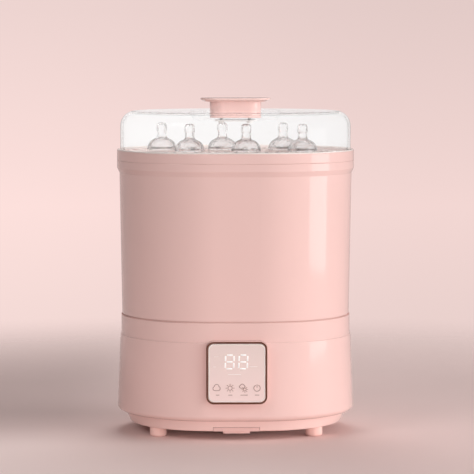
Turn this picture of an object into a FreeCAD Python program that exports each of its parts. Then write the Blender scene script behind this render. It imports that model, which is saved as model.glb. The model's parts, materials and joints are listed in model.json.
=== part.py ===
import FreeCAD, Part

# A free-standing steam steriliser and dryer for baby bottles, in millimetres.
# +Z is up, the front faces -Y, and the origin is on the surface it stands on, under its middle.
# Its outline from above is an oblong: two half circles joined by a short straight front and back.

import math
import os
import re

import Sketcher

Vector = FreeCAD.Vector

SIZES = [
    # the outline and the stack of the outer casings
    ("half_spread", 28.5, "half the straight run of the front, between the two end centres"),
    ("collar_radius", 114.0, "collar and tray rim, from an end centre"),
    ("skirt_flare", 0.2, "base casing at its widest, beyond the collar"),
    ("skirt_taper", 3.8, "base casing's lean in up to its step"),
    ("neck_inset", 1.1, "how far the neck stands back at the step"),
    ("skirt_height", 92.3, "base casing from its floor to the step"),
    ("neck_height", 23.2, "base casing from the step to the chamber seam"),
    ("skirt_round", 6.0, "rounding under the base casing"),
    ("edge_round", 0.6, "small rounding of moulded edges"),
    ("shell_wall", 2.6, "wall of the base casing"),
    ("pan_inset", 9.7, "bottom pan's rim, behind the foot of the casing"),
    ("pan_taper", 6.0, "bottom pan's lean in from its rim to its floor"),
    ("pan_height", 13.5, "bottom pan"),
    ("pan_floor", 2.5, "floor of the bottom pan"),
    ("pan_wall", 2.4, "wall of the bottom pan"),
    ("pan_round", 2.5, "rounding under the bottom pan"),
    ("foot_height", 11.2, "feet under the pan"),
    ("foot_radius", 10.0, "feet"),
    ("foot_margin", 1.4, "feet behind the edge of the pan's floor"),
    ("foot_angle", 42.6, "degrees round an end centre to a foot"),
    ("foot_round", 3.0, "rounding under a foot"),
    ("fit_gap", 0.4, "gap round pieces that slip together"),
    ("seat_gap", 0.15, "gap round pieces that are fixed together"),
    # the basin deck
    ("basin_depth", 14.0, "deck floor under the chamber seam"),
    ("deck_floor", 2.5, "floor of the deck"),
    ("deck_wall", 2.0, "wall of the deck"),
    ("spigot_height", 4.0, "deck wall that stands up inside the chamber"),
    ("spigot_gap", 0.7, "between the deck wall and the chamber"),
    ("ledge_width", 4.0, "casing ledge that carries the deck"),
    # the chamber
    ("seal_height", 1.2, "silicone seal under the chamber"),
    ("seal_inset", 1.0, "seal behind the chamber's face"),
    ("seal_width", 1.4, "seal, across"),
    ("chamber_foot_inset", 5.7, "chamber's lower edge, behind the collar"),
    ("chamber_head_inset", 2.9, "chamber under the collar, behind it"),
    ("chamber_wall", 2.4, "wall of the chamber"),
    ("chamber_height", 175.3, "chamber up to the collar"),
    ("collar_height", 9.0, "collar of the chamber"),
    ("collar_slope", 6.0, "height of the slope under the collar"),
    ("collar_wall", 2.6, "wall of the collar"),
    ("seam_round", 0.5, "edges at the seam of collar and tray rim"),
    # the upper tray
    ("rim_height", 12.4, "tray rim above the collar"),
    ("rim_round", 1.4, "upper outer edge of the tray rim"),
    ("tray_spigot", 6.0, "tray rim down inside the collar"),
    ("spigot_wall", 2.0, "wall of that spigot"),
    ("shelf_width", 8.5, "shelf of the tray rim, in from its spigot"),
    ("shelf_wall", 2.4, "thickness of the shelf"),
    ("grid_thickness", 2.0, "clear grid plate"),
    ("grid_lip", 5.0, "upstanding edge of the grid plate, from its underside"),
    ("grid_lip_wall", 1.5, "wall of that edge"),
    ("grid_slot_width", 4.0, "slots in the grid plate"),
    ("grid_slot_length", 34.0, "slots in the grid plate"),
    ("grid_run", 168.0, "row of slots in the grid plate, first to last"),
    ("grid_slot_count", 15, "slots in a row of the grid plate"),
    ("peg_radius", 10.5, "low ring that centres a teat"),
    ("peg_wall", 1.5, "wall of that ring"),
    ("peg_height", 3.0, "height of that ring"),
    # teats
    ("teat_row_depth", 24.0, "a row of teats, from the middle"),
    ("rear_pitch", 73.4, "from teat to teat along the rear row"),
    ("rear_shift", -15.5, "middle of the rear row, sideways"),
    ("front_pitch", 67.3, "from teat to teat along the front row"),
    ("front_shift", 12.4, "middle of the front row, sideways"),
    ("teat_radius", 18.0, "dome of a teat"),
    ("teat_wall", 1.6, "silicone of a teat"),
    ("teat_skirt", 2.6, "straight foot of a teat"),
    ("teat_shoulder_radius", 15.1, "teat's dome where it turns in"),
    ("teat_shoulder", 9.4, "height of that turn"),
    ("teat_throat_radius", 9.0, "teat's dome under its neck"),
    ("teat_throat", 13.1, "height of the dome's end"),
    ("teat_neck_radius", 5.0, "neck under the tip"),
    ("teat_neck", 15.6, "height of the neck's foot"),
    ("teat_neck_end", 26.2, "height of the neck's end"),
    ("teat_tip_radius", 6.0, "bulb of the tip"),
    ("teat_tip", 28.8, "height of the bulb's widest"),
    ("teat_crown_radius", 2.4, "flat end of the tip"),
    ("teat_height", 32.5, "a teat in all"),
    # the lid
    ("rim_wall", 3.85, "tray rim outside the lid"),
    ("lid_wall", 2.4, "wall of the lid"),
    ("lid_seat", 3.0, "lid down inside the tray rim"),
    ("lid_height", 46.6, "lid above the tray rim"),
    ("lid_round", 18.0, "outer rounding of the lid"),
    ("recess_spread", 23.0, "half the straight run of the grip recess"),
    ("recess_radius", 30.0, "ends of the grip recess"),
    ("recess_depth", 8.3, "grip recess"),
    ("recess_draft", 4.0, "how far the recess closes in towards its floor"),
    ("recess_round", 1.2, "upper edge of the grip recess"),
    ("vent_outer", 106.0, "outer steam vents from the middle"),
    ("vent_inner", 98.0, "inner steam vents from the middle"),
    ("vent_width", 5.0, "steam vents"),
    ("vent_length", 14.0, "steam vents"),
    ("grip_spread", 14.8, "half the straight run of the handle stem"),
    ("grip_radius", 16.0, "ends of the handle stem"),
    ("grip_height", 18.5, "handle stem"),
    ("grip_wall", 2.5, "wall of the stem"),
    ("plate_spread", 19.0, "half the straight run of the handle plate"),
    ("plate_radius", 23.0, "ends of the handle plate"),
    ("plate_flare", 2.4, "sloping underside of the handle plate, upwards"),
    ("flare_slope", 2.0, "run over rise of that slope"),
    ("plate_edge", 2.1, "edge of the handle plate"),
    ("plate_round", 0.9, "rounding of that edge"),
    ("grip_seal", 0.8, "silicone under the stem"),
    ("backing_thickness", 2.0, "plate inside the lid that clamps the handle"),
    ("screw_spread", 17.0, "handle screws from the middle"),
    ("screw_radius", 1.75, "screw shanks"),
    ("head_radius", 3.4, "screw heads"),
    ("head_height", 2.2, "screw heads"),
    ("boss_radius", 4.0, "bosses that screws bite into"),
    # the bottle rack
    ("rack_lift", 30.0, "rack plate above the deck floor"),
    ("rack_gap", 5.2, "round the rack plate, inside the deck's wall"),
    ("rack_thickness", 2.5, "rack plate"),
    ("rack_leg_x", 78.0, "rack legs from the middle, sideways"),
    ("rack_leg_inset", 69.0, "rack legs, in from the front and back of the collar"),
    ("rack_leg_radius", 5.0, "rack legs"),
    ("rack_slot_width", 7.0, "slots in the rack plate"),
    ("rack_slot_length", 50.0, "slots in the rack plate"),
    ("rack_run", 168.0, "row of slots in the rack plate, first to last"),
    ("rack_slot_count", 13, "slots in a row of the rack plate"),
    ("spike_pitch_x", 66.0, "bottle spikes along a row"),
    ("spike_y", 34.0, "a row of bottle spikes, from the middle"),
    ("spike_radius", 6.0, "bottle spikes at the foot"),
    ("spike_height", 90.0, "bottle spikes"),
    ("spike_draft", 1.2, "degrees that a spike tapers"),
    ("rack_post_radius", 5.0, "lifting post of the rack"),
    ("rack_post_height", 78.0, "lifting post of the rack"),
    ("knob_radius", 11.0, "knob on the lifting post"),
    ("knob_height", 10.0, "knob on the lifting post"),
    # the control pod
    ("pod_width", 71.0, "control pod"),
    ("pod_rise", 22.0, "control pod above the floor of the base casing"),
    ("pod_height", 73.0, "control pod"),
    ("pod_round", 8.7, "corners of the control pod"),
    ("pod_reach", 8.0, "pod face in front of the casing at its widest"),
    ("pod_depth", 14.0, "pod from its trim back into the base"),
    ("pod_wall", 2.4, "wall of the pod"),
    ("trim_width", 1.8, "metal trim round the pod's face"),
    ("trim_depth", 2.0, "metal trim"),
    ("face_inset", 0.5, "face behind the trim"),
    ("face_thickness", 2.0, "clear-coated face"),
    ("board_thickness", 1.6, "circuit boards"),
    ("board_setback", 7.0, "display board behind the face"),
    ("digits_width", 30.0, "digit display"),
    ("digits_height", 21.0, "digit display"),
    ("digits_up", 28.6, "digit display under the pod's top, to its middle"),
    ("key_pitch", 15.7, "from one touch key to the next"),
    ("key_up", 19.0, "row of touch keys above the pod's lower edge"),
    ("key_radius", 3.5, "touch springs"),
    ("key_bore", 1.75, "touch springs, inside"),
    ("ribbon_width", 20.0, "opening behind the board for its ribbon"),
    ("ribbon_height", 5.0, "opening behind the board for its ribbon"),
    ("ribbon_up", 7.0, "that opening above the pod's lower edge"),
    # the mains inlet
    ("inlet_width", 64.0, "raised field for the inlet"),
    ("inlet_rise", 12.0, "raised field above the floor of the base casing"),
    ("inlet_height", 44.0, "raised field"),
    ("inlet_reach", 5.0, "raised field behind the casing at its widest"),
    ("socket_width", 30.0, "mains socket body"),
    ("socket_height", 22.5, "mains socket body"),
    ("socket_depth", 24.0, "mains socket body"),
    ("socket_wall", 2.2, "wall of the socket"),
    ("socket_flange", 9.0, "flange beside the socket body"),
    ("flange_thickness", 2.5, "socket flange"),
    ("blade_length", 13.0, "socket blades"),
    ("earth_rise", 3.0, "middle blade above the socket's middle"),
    ("live_drop", 1.0, "outer blades below the socket's middle"),
    ("blade_width", 4.0, "socket blades"),
    ("blade_thickness", 2.0, "socket blades"),
    ("lead_radius", 1.3, "insulated leads inside the base"),
    ("blade_pitch", 7.0, "outer blades from the middle one"),
    # heating
    ("plate_x", -20.0, "heating plate from the middle, sideways"),
    ("plate_y", 12.0, "heating plate from the middle, front to back"),
    ("hot_radius", 64.0, "heating plate"),
    ("hot_thickness", 2.0, "heating plate"),
    ("gasket_width", 6.0, "gasket round the heating plate"),
    ("gasket_thickness", 1.5, "gasket round the heating plate"),
    ("element_radius", 44.0, "heating ring, to the middle of its tube"),
    ("element_tube", 4.0, "heating ring's tube"),
    ("element_span", 320.0, "degrees that the heating ring covers"),
    ("terminal_length", 16.0, "heating ring's two ends"),
    ("stat_radius", 9.0, "thermostat"),
    ("strap_width", 14.0, "strap that holds the thermostat"),
    ("strap_thickness", 1.5, "strap that holds the thermostat"),
    ("fuse_radius", 2.2, "thermal fuse"),
    ("fuse_length", 16.0, "thermal fuse"),
    ("fuse_y", 20.0, "thermal fuse behind the plate's middle"),
    # the drying fan
    ("fan_margin", 31.0, "fan housing behind the collar's face"),
    ("volute_radius", 43.0, "fan housing"),
    ("volute_height", 32.0, "fan housing"),
    ("volute_wall", 2.0, "fan housing"),
    ("volute_lift", 2.0, "fan cover, under the housing"),
    ("inlet_hole", 21.0, "air inlet of the fan"),
    ("outlet_width", 26.0, "air outlet of the fan"),
    ("wheel_radius", 36.0, "fan wheel"),
    ("wheel_height", 22.0, "fan wheel"),
    ("wheel_plate", 1.6, "fan wheel's back plate"),
    ("wheel_hub", 5.0, "fan wheel's hub"),
    ("wheel_gap", 3.0, "fan wheel from the cover"),
    ("blade_count", 24.0, "fan wheel blades"),
    ("fan_blade_width", 1.2, "fan wheel blades, thickness"),
    ("fan_blade_depth", 9.0, "fan wheel blades, along a radius"),
    ("fan_blade_inset", 0.3, "fan wheel blades, behind the back plate's edge"),
    ("shaft_radius", 1.5, "fan shaft"),
    ("running_gap", 0.05, "round the shaft in its bushes"),
    ("motor_radius", 17.0, "motor can"),
    ("motor_height", 24.0, "motor can"),
    ("motor_wall", 1.2, "motor can"),
    ("magnet_radius", 9.0, "magnet on the shaft"),
    ("magnet_height", 12.0, "magnet on the shaft"),
    ("bush_radius", 4.0, "motor bushes"),
    ("bush_height", 4.0, "motor bushes"),
    # the air duct and its heater
    ("duct_length", 24.0, "duct, sideways"),
    ("duct_gap", 3.35, "duct's outer corner, inside the pan's wall at its rim"),
    ("duct_wall", 2.0, "wall of the duct"),
    ("heater_height", 12.0, "air heater in the duct"),
    ("heater_level", 30.0, "air heater above the fan outlet's top"),
    ("heater_hole_pitch", 5.0, "channels of the air heater"),
    ("heater_hole_width", 3.4, "channels of the air heater"),
    ("tower_height", 22.0, "air tower above the deck floor"),
    ("tower_wall", 2.0, "air tower"),
    ("tower_slot", 8.0, "air slots under the tower's cap"),
    ("cap_overhang", 2.0, "cap beyond the tower"),
    ("cap_thickness", 2.0, "cap of the air tower"),
    # the filter drawer
    ("drawer_width", 54.0, "filter drawer"),
    ("drawer_length", 78.0, "filter drawer, from the pan's front edge"),
    ("drawer_height", 5.0, "filter drawer"),
    ("drawer_wall", 1.6, "filter drawer"),
    ("filter_thickness", 2.6, "air filter"),
    ("tunnel_wall", 2.0, "pan's housing round the drawer"),
    ("tab_width", 32.0, "finger lip of the drawer"),
    ("tab_drop", 2.9, "finger lip under the pan"),
    ("tab_depth", 6.0, "finger lip"),
    ("tab_setback", 3.0, "finger lip behind the pan's front edge"),
    ("air_slot_width", 3.0, "air slots over and under the filter"),
    ("air_slot_length", 36.0, "air slots over and under the filter"),
    ("air_slot_run", 36.0, "row of air slots, first to last"),
    ("air_slot_count", 7, "air slots in the row"),
    # the power board
    ("power_x", -30.0, "power board's middle, sideways"),
    ("power_inset", 62.0, "power board's middle, in from the back of the collar"),
    ("power_width", 84.0, "power board"),
    ("power_depth", 48.0, "power board"),
    ("power_lift", 12.0, "power board above the pan's floor"),
    ("post_radius", 3.5, "posts of the pan"),
    ("post_inset", 5.0, "posts from the board's edges"),
    ("coil_width", 30.0, "transformer"),
    ("coil_depth", 24.0, "transformer"),
    ("coil_height", 22.0, "transformer"),
    ("relay_width", 19.0, "relay"),
    ("relay_depth", 15.0, "relay"),
    ("relay_height", 15.5, "relay"),
    ("block_width", 22.0, "terminal block"),
    ("block_depth", 10.0, "terminal block"),
    ("block_height", 12.0, "terminal block"),
    # pan fixing
    ("pan_screw_x", 86.0, "pan screws from the middle, sideways"),
    ("pan_screw_inset", 74.0, "pan screws, in from the front and back of the collar"),
    ("pan_screw_length", 14.0, "pan screws"),
]

doc = FreeCAD.newDocument("BottleSteriliser")
sheet = doc.addObject("Spreadsheet::Sheet", "Sizes")
for row, (alias, number, note) in enumerate(SIZES, start=1):
    sheet.set(f"A{row}", alias)
    sheet.set(f"B{row}", str(number))
    sheet.setAlias(f"B{row}", alias)
    sheet.set(f"C{row}", note)
doc.recompute()


def bound(text):
    """An expression on the sizes, as another object of the document reads it."""
    return re.sub(r"\b[a-z]+(?:_[a-z]+)+\b", r"Sizes.\g<0>", str(text))


def value(text):
    """What an expression on the sizes comes to now."""
    return float(sheet.evalExpression(str(text)))


def bracket(term):
    """An expression that can stand as a term of another."""
    plain = re.fullmatch(r"[a-z_]+|[0-9.]+", term)
    return term if plain else f"({term})"


def plus(*terms):
    """The sum of some expressions, as one expression in brackets."""
    return "(" + " + ".join(bracket(term) for term in terms) + ")"


def minus(first, *rest):
    """One expression less some others, in brackets."""
    return "(" + " - ".join(bracket(term) for term in (first,) + rest) + ")"


# ---------------------------------------------------------------- levels, from the floor up
PAN_LEVEL = "foot_height"
HOUSING_LEVEL = plus(PAN_LEVEL, "pan_height")
POD_FLOOR = plus(HOUSING_LEVEL, "pod_rise")
INLET_FLOOR = plus(HOUSING_LEVEL, "inlet_rise")
STEP_LEVEL = plus(HOUSING_LEVEL, "skirt_height")
SEAM_LEVEL = plus(STEP_LEVEL, "neck_height")
DECK_LEVEL = minus(SEAM_LEVEL, "basin_depth")
BASIN_LEVEL = plus(DECK_LEVEL, "deck_floor")
CHAMBER_LEVEL = plus(SEAM_LEVEL, "seal_height")
COLLAR_LEVEL = plus(CHAMBER_LEVEL, "chamber_height")
TRAY_LEVEL = plus(COLLAR_LEVEL, "collar_height")
RIM_LEVEL = plus(TRAY_LEVEL, "rim_height")
LID_LEVEL = minus(RIM_LEVEL, "lid_seat")
LID_TOP = plus(RIM_LEVEL, "lid_height")
RECESS_LEVEL = minus(LID_TOP, "recess_depth")
GRIP_LEVEL = plus(RECESS_LEVEL, "grip_seal")
GRID_TOP = plus(LID_LEVEL, "grid_thickness")
RACK_LEVEL = plus(BASIN_LEVEL, "rack_lift")
INNER_PAN_LEVEL = plus(PAN_LEVEL, "pan_floor")
ROOF_LEVEL = plus(PAN_LEVEL, "drawer_height", "fit_gap", "tunnel_wall")
FAN_LEVEL = plus(ROOF_LEVEL, "volute_lift")
POWER_LEVEL = plus(INNER_PAN_LEVEL, "power_lift")
HOT_LEVEL = minus(DECK_LEVEL, "gasket_thickness", "hot_thickness")
STRAP_LEVEL = minus(HOT_LEVEL, "2 * element_tube", "strap_thickness")

# ---------------------------------------------------------------- distances from the end centres
SKIRT_RADIUS = plus("collar_radius", "skirt_flare")
SHOULDER_RADIUS = minus(SKIRT_RADIUS, "skirt_taper")
NECK_RADIUS = minus(SHOULDER_RADIUS, "neck_inset")
PAN_RIM_RADIUS = minus(SKIRT_RADIUS, "pan_inset")
PAN_FLOOR_RADIUS = minus(PAN_RIM_RADIUS, "pan_taper")
POD_FACE = plus(SKIRT_RADIUS, "pod_reach")
INLET_FACE = plus(SKIRT_RADIUS, "inlet_reach")
CHAMBER_FOOT_RADIUS = minus("collar_radius", "chamber_foot_inset")
CHAMBER_HEAD_RADIUS = minus("collar_radius", "chamber_head_inset")
DECK_RADIUS = minus(CHAMBER_FOOT_RADIUS, "chamber_wall", "spigot_gap")
RACK_RADIUS = minus(DECK_RADIUS, "deck_wall", "rack_gap")
COLLAR_BORE = minus("collar_radius", "collar_wall")
TRAY_SPIGOT_RADIUS = minus(COLLAR_BORE, "fit_gap")
LID_RADIUS = minus("collar_radius", "rim_wall", "fit_gap")
LID_BORE = minus(LID_RADIUS, "lid_wall")
FAN_Y = plus(minus("fan_margin", "collar_radius"), "volute_radius")
DUCT_CORNER = minus(PAN_RIM_RADIUS, "pan_wall", "duct_gap")
DUCT_FRONT = minus(FAN_Y, "volute_radius")
DUCT_BACK = plus(DUCT_FRONT, "outlet_width")
DUCT_RIGHT = plus("half_spread", f"sqrt({DUCT_CORNER} ^ 2 - {DUCT_FRONT} ^ 2)")
DUCT_LEFT = minus(DUCT_RIGHT, "duct_length")
POWER_Y = minus("collar_radius", "power_inset")
RACK_LEG_Y = minus("collar_radius", "rack_leg_inset")
PAN_SCREW_Y = minus("collar_radius", "pan_screw_inset")


# ---------------------------------------------------------------- how pieces are drawn
class Outline:
    """A sketch whose geometry is held by expressions on the sizes."""

    def __init__(self, piece, plane, level):
        body = piece.body
        self.item = body.newObject("Sketcher::SketchObject", body.Label + "_outline")
        origin = next(f for f in body.Origin.OriginFeatures if f.Role == plane)
        self.item.AttachmentSupport = [(origin, "")]
        self.item.MapMode = "FlatFace"
        if level != "0":
            self.item.setExpression("AttachmentOffset.Base.z", bound(level))
        self.curves, self.rules, self.bindings = [], [], []

    def draw(self, curve):
        self.curves.append(curve)
        return len(self.curves) - 1

    def rule(self, kind, *where):
        self.rules.append(Sketcher.Constraint(kind, *where))

    def hold(self, kind, *where, to):
        """One dimension, bound to an expression."""
        self.bindings.append((len(self.rules), to))
        self.rule(kind, *where, value(to))

    def finish(self):
        """Hand the drawn curves and their rules to the sketch, once."""
        if self.curves:
            self.item.addGeometry(self.curves)
            self.item.addConstraint(self.rules)
            for index, text in self.bindings:
                self.item.setExpression(f"Constraints[{index}]", bound(text))
            self.curves = []
        return self.item

    def place(self, curve, point, x, y):
        """Fix one point of a curve."""
        self.hold("DistanceX", -1, 1, curve, point, to=x)
        self.hold("DistanceY", -1, 1, curve, point, to=y)

    def circle(self, radius, x="0", y="0"):
        centre = Vector(value(x), value(y), 0)
        curve = self.draw(Part.Circle(centre, Vector(0, 0, 1), value(radius)))
        self.hold("Radius", curve, to=radius)
        self.place(curve, 3, x, y)
        return self

    def polygon(self, *points):
        """Straight lines from point to point and back to the first."""
        ends = [Vector(value(x), value(y), 0) for x, y in points]
        lines = [
            self.draw(Part.LineSegment(start, end))
            for start, end in zip(ends, ends[1:] + ends[:1])
        ]
        for line, following, (x, y) in zip(lines, lines[1:] + lines[:1], points):
            self.rule("Coincident", line, 2, following, 1)
            self.place(line, 1, x, y)
        return self

    def rectangle(self, left, right, low, high):
        return self.polygon((left, low), (right, low), (right, high), (left, high))

    def arc(self, x, y, radius, start, end):
        circle = Part.Circle(Vector(x, y, 0), Vector(0, 0, 1), radius)
        return self.draw(Part.ArcOfCircle(circle, math.radians(start), math.radians(end)))

    def line(self, x0, y0, x1, y1):
        return self.draw(Part.LineSegment(Vector(x0, y0, 0), Vector(x1, y1, 0)))

    def chain(self, curves):
        """Join curves end to end, each tangent to the next."""
        for curve, following in zip(curves, curves[1:] + curves[:1]):
            self.rule("Tangent", curve, 2, following, 1)

    def oblong(self, radius, spread="half_spread", x="0", y="0", upright=False):
        """Two half circles joined by straight runs, along x or upright."""
        r, s, cx, cy = value(radius), value(spread), value(x), value(y)
        if upright:
            curves = [
                self.line(cx + r, cy - s, cx + r, cy + s),
                self.arc(cx, cy + s, r, 0, 180),
                self.line(cx - r, cy + s, cx - r, cy - s),
                self.arc(cx, cy - s, r, 180, 360),
            ]
            first, last = (x, plus(y, spread)), (x, minus(y, spread))
        else:
            curves = [
                self.line(cx - s, cy - r, cx + s, cy - r),
                self.arc(cx + s, cy, r, -90, 90),
                self.line(cx + s, cy + r, cx - s, cy + r),
                self.arc(cx - s, cy, r, 90, 270),
            ]
            first, last = (plus(x, spread), y), (minus(x, spread), y)
        self.chain(curves)
        self.place(curves[1], 3, *first)
        self.place(curves[3], 3, *last)
        self.hold("Radius", curves[1], to=radius)
        self.rule("Equal", curves[1], curves[3])
        return self

    def rounded(self, left, right, low, high, corner):
        """A rectangle with equal round corners."""
        x0, x1, y0, y1, r = (value(text) for text in (left, right, low, high, corner))
        curves = [
            self.line(x0 + r, y0, x1 - r, y0),
            self.arc(x1 - r, y0 + r, r, -90, 0),
            self.line(x1, y0 + r, x1, y1 - r),
            self.arc(x1 - r, y1 - r, r, 0, 90),
            self.line(x1 - r, y1, x0 + r, y1),
            self.arc(x0 + r, y1 - r, r, 90, 180),
            self.line(x0, y1 - r, x0, y0 + r),
            self.arc(x0 + r, y0 + r, r, 180, 270),
        ]
        self.chain(curves)
        for flat, upright in ((0, 2), (4, 6)):
            self.rule("Horizontal", curves[flat])
            self.rule("Vertical", curves[upright])
        self.hold("DistanceY", -1, 1, curves[0], 1, to=low)
        self.hold("DistanceX", -1, 1, curves[2], 1, to=right)
        self.hold("DistanceY", -1, 1, curves[4], 1, to=high)
        self.hold("DistanceX", -1, 1, curves[6], 1, to=left)
        self.hold("Radius", curves[1], to=corner)
        for curve in (3, 5, 7):
            self.rule("Equal", curves[1], curves[curve])
        return self


pieces = []


def put(item, x, y, z):
    """Place a sub-part by expressions."""
    for axis, text in zip("xyz", (x, y, z)):
        if text != "0":
            item.setExpression("Placement.Base." + axis, bound(text))


class Piece:
    """One sub-part as a PartDesign body."""

    def __init__(self, label, x="0", y="0", z="0"):
        self.body = doc.addObject("PartDesign::Body", label)
        put(self.body, x, y, z)
        pieces.append(self.body)

    def outline(self, plane="XY_Plane", level="0"):
        return Outline(self, plane, level)

    def origin(self, role):
        return next(f for f in self.body.Origin.OriginFeatures if f.Role == role)

    def feature(self, kind, outline, reverse=False, **sizes):
        item = self.body.newObject("PartDesign::" + kind, self.body.Label + "_" + kind.lower())
        item.Profile = outline.finish()
        item.Reversed = reverse
        for name, text in sizes.items():
            item.setExpression(name, bound(text))
        return item

    def pad(self, outline, length, reverse=False, taper="0"):
        return self.feature("Pad", outline, reverse, Length=length, TaperAngle=taper)

    def cut(self, outline, depth, reverse=False, taper="0"):
        return self.feature("Pocket", outline, reverse, Length=depth, TaperAngle=taper)

    def turn(self, outline, angle="360"):
        item = self.feature("Revolution", outline, Angle=angle)
        item.ReferenceAxis = (outline.item, ["V_Axis"])
        return item

    def mirror(self, items, plane):
        item = self.body.newObject("PartDesign::Mirrored", self.body.Label + "_mirrored")
        item.Originals = items
        item.MirrorPlane = (self.origin(plane), [""])
        self.body.Tip = item
        return item

    def ring(self, item, count):
        """Repeat a feature round the piece's own upright axis."""
        pattern = self.body.newObject("PartDesign::PolarPattern", self.body.Label + "_ring")
        pattern.Originals = [item]
        pattern.Axis = (self.origin("Z_Axis"), [""])
        pattern.Angle = 360
        pattern.setExpression("Occurrences", bound(count))
        self.body.Tip = pattern
        return pattern

    def row(self, item, axis, length, count):
        """Repeat a feature along one of the piece's axes."""
        pattern = self.body.newObject("PartDesign::LinearPattern", self.body.Label + "_row")
        pattern.Originals = [item]
        pattern.Direction = (self.origin(axis), [""])
        pattern.setExpression("Length", bound(length))
        pattern.setExpression("Occurrences", bound(count))
        self.body.Tip = pattern
        return pattern

    def soften(self, radius, chosen, kind="Fillet"):
        """Round or bevel the edges whose middle point passes the test."""
        doc.recompute()
        tip = self.body.Tip
        names = []
        for number, edge in enumerate(tip.Shape.Edges, start=1):
            middle = edge.valueAt((edge.FirstParameter + edge.LastParameter) / 2)
            if chosen(middle):
                names.append(f"Edge{number}")
        item = self.body.newObject("PartDesign::" + kind, self.body.Label + "_" + kind.lower())
        item.Base = (tip, names)
        item.setExpression("Radius" if kind == "Fillet" else "Size", bound(radius))
        self.body.Tip = item
        return item


def near(a, b):
    return abs(a - b) < 1e-3


def on_rim(level, radius, spread="half_spread"):
    """A test for points of an oblong edge at one level, a set distance from the end centres."""
    height, distance, half = value(level), value(radius), value(spread)

    def chosen(point):
        beyond = max(abs(point.x) - half, 0)
        return near(point.z, height) and near(math.hypot(beyond, point.y), distance)

    return chosen


def oblong_wall(piece, *profile):
    """A wall that follows the casing's outline: (distance from an end centre, height)."""
    spine = piece.outline().oblong(profile[0][0])
    section = piece.outline("YZ_Plane").polygon(*[(f"-{radius}", height) for radius, height in profile])
    pipe = piece.body.newObject("PartDesign::AdditivePipe", piece.body.Label + "_wall")
    pipe.Profile = section.finish()
    pipe.Spine = (spine.finish(), [])
    return pipe


def turned(label, x, y, z, *profile):
    """A round piece from its section: (radius, height)."""
    piece = Piece(label, x, y, z)
    section = piece.outline("XZ_Plane")
    section.polygon(*profile)
    piece.turn(section)
    return piece


def solid(kind, label, x="0", y="0", z="0", keep=True, **sizes):
    """A Part primitive, sized and placed by expressions."""
    item = doc.addObject("Part::" + kind, label)
    for name, text in sizes.items():
        item.setExpression(name, bound(text))
    put(item, x, y, z)
    if keep:
        pieces.append(item)
    return item


def block(label, x, y, z, width, depth, height, keep=True):
    """A box given by the middle of its floor."""
    corner_x, corner_y = minus(x, f"({width}) / 2"), minus(y, f"({depth}) / 2")
    return solid("Box", label, corner_x, corner_y, z, keep, Length=width, Width=depth, Height=height)


def rod(label, x, y, z, radius, height, keep=True):
    return solid("Cylinder", label, x, y, z, keep, Radius=radius, Height=height)


def joined(label, *items):
    item = doc.addObject("Part::MultiFuse", label)
    item.Shapes = list(items)
    pieces.append(item)
    return item


# ---------------------------------------------------------------- the base casing
def base_housing():
    top = plus("skirt_height", "neck_height")
    bore = minus(NECK_RADIUS, "shell_wall")
    ledge_top = minus(top, "basin_depth")
    ledge_floor = minus(ledge_top, "shell_wall")
    ledge_radius = minus(DECK_RADIUS, "ledge_width")
    piece = Piece("base_housing", z=HOUSING_LEVEL)
    oblong_wall(
        piece,
        (SKIRT_RADIUS, "0"),
        (SHOULDER_RADIUS, minus("skirt_height", "edge_round")),
        (minus(SHOULDER_RADIUS, "edge_round"), "skirt_height"),
        (NECK_RADIUS, "skirt_height"),
        (NECK_RADIUS, top),
        (bore, top),
        (bore, ledge_top),
        (ledge_radius, ledge_top),
        (ledge_radius, ledge_floor),
        (bore, minus(ledge_floor, "ledge_width")),
        (minus(SKIRT_RADIUS, "shell_wall", "shell_wall / 2"), "skirt_round"),
        (minus(SKIRT_RADIUS, "skirt_round"), "shell_wall"),
        (plus(PAN_RIM_RADIUS, "seat_gap"), "shell_wall"),
        (plus(PAN_RIM_RADIUS, "seat_gap"), "0"),
    )
    piece.soften("skirt_round", on_rim("0", SKIRT_RADIUS))
    piece.soften("edge_round", on_rim(top, NECK_RADIUS))
    opening_low = minus("pod_rise", "seat_gap")
    opening_high = plus(opening_low, "pod_height", "2 * seat_gap")
    opening_half = plus("pod_width / 2", "seat_gap")
    opening = piece.outline("XZ_Plane").rounded(
        f"-{opening_half}", opening_half, opening_low, opening_high, plus("pod_round", "seat_gap")
    )
    piece.cut(opening, POD_FACE, reverse=True)
    field = piece.outline("XZ_Plane", f"-{INLET_FACE}").rounded(
        "-inlet_width / 2", "inlet_width / 2", "inlet_rise", plus("inlet_rise", "inlet_height"), "skirt_round"
    )
    piece.pad(field, plus("inlet_reach", "2 * shell_wall"))
    middle = plus("inlet_rise", "inlet_height / 2")
    socket = piece.outline("XZ_Plane", f"-{INLET_FACE}").rectangle(
        "-socket_width / 2 - seat_gap",
        "socket_width / 2 + seat_gap",
        minus(middle, "socket_height / 2", "seat_gap"),
        plus(middle, "socket_height / 2", "seat_gap"),
    )
    piece.cut(socket, plus("inlet_reach", "5 * shell_wall"), reverse=True)


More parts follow.
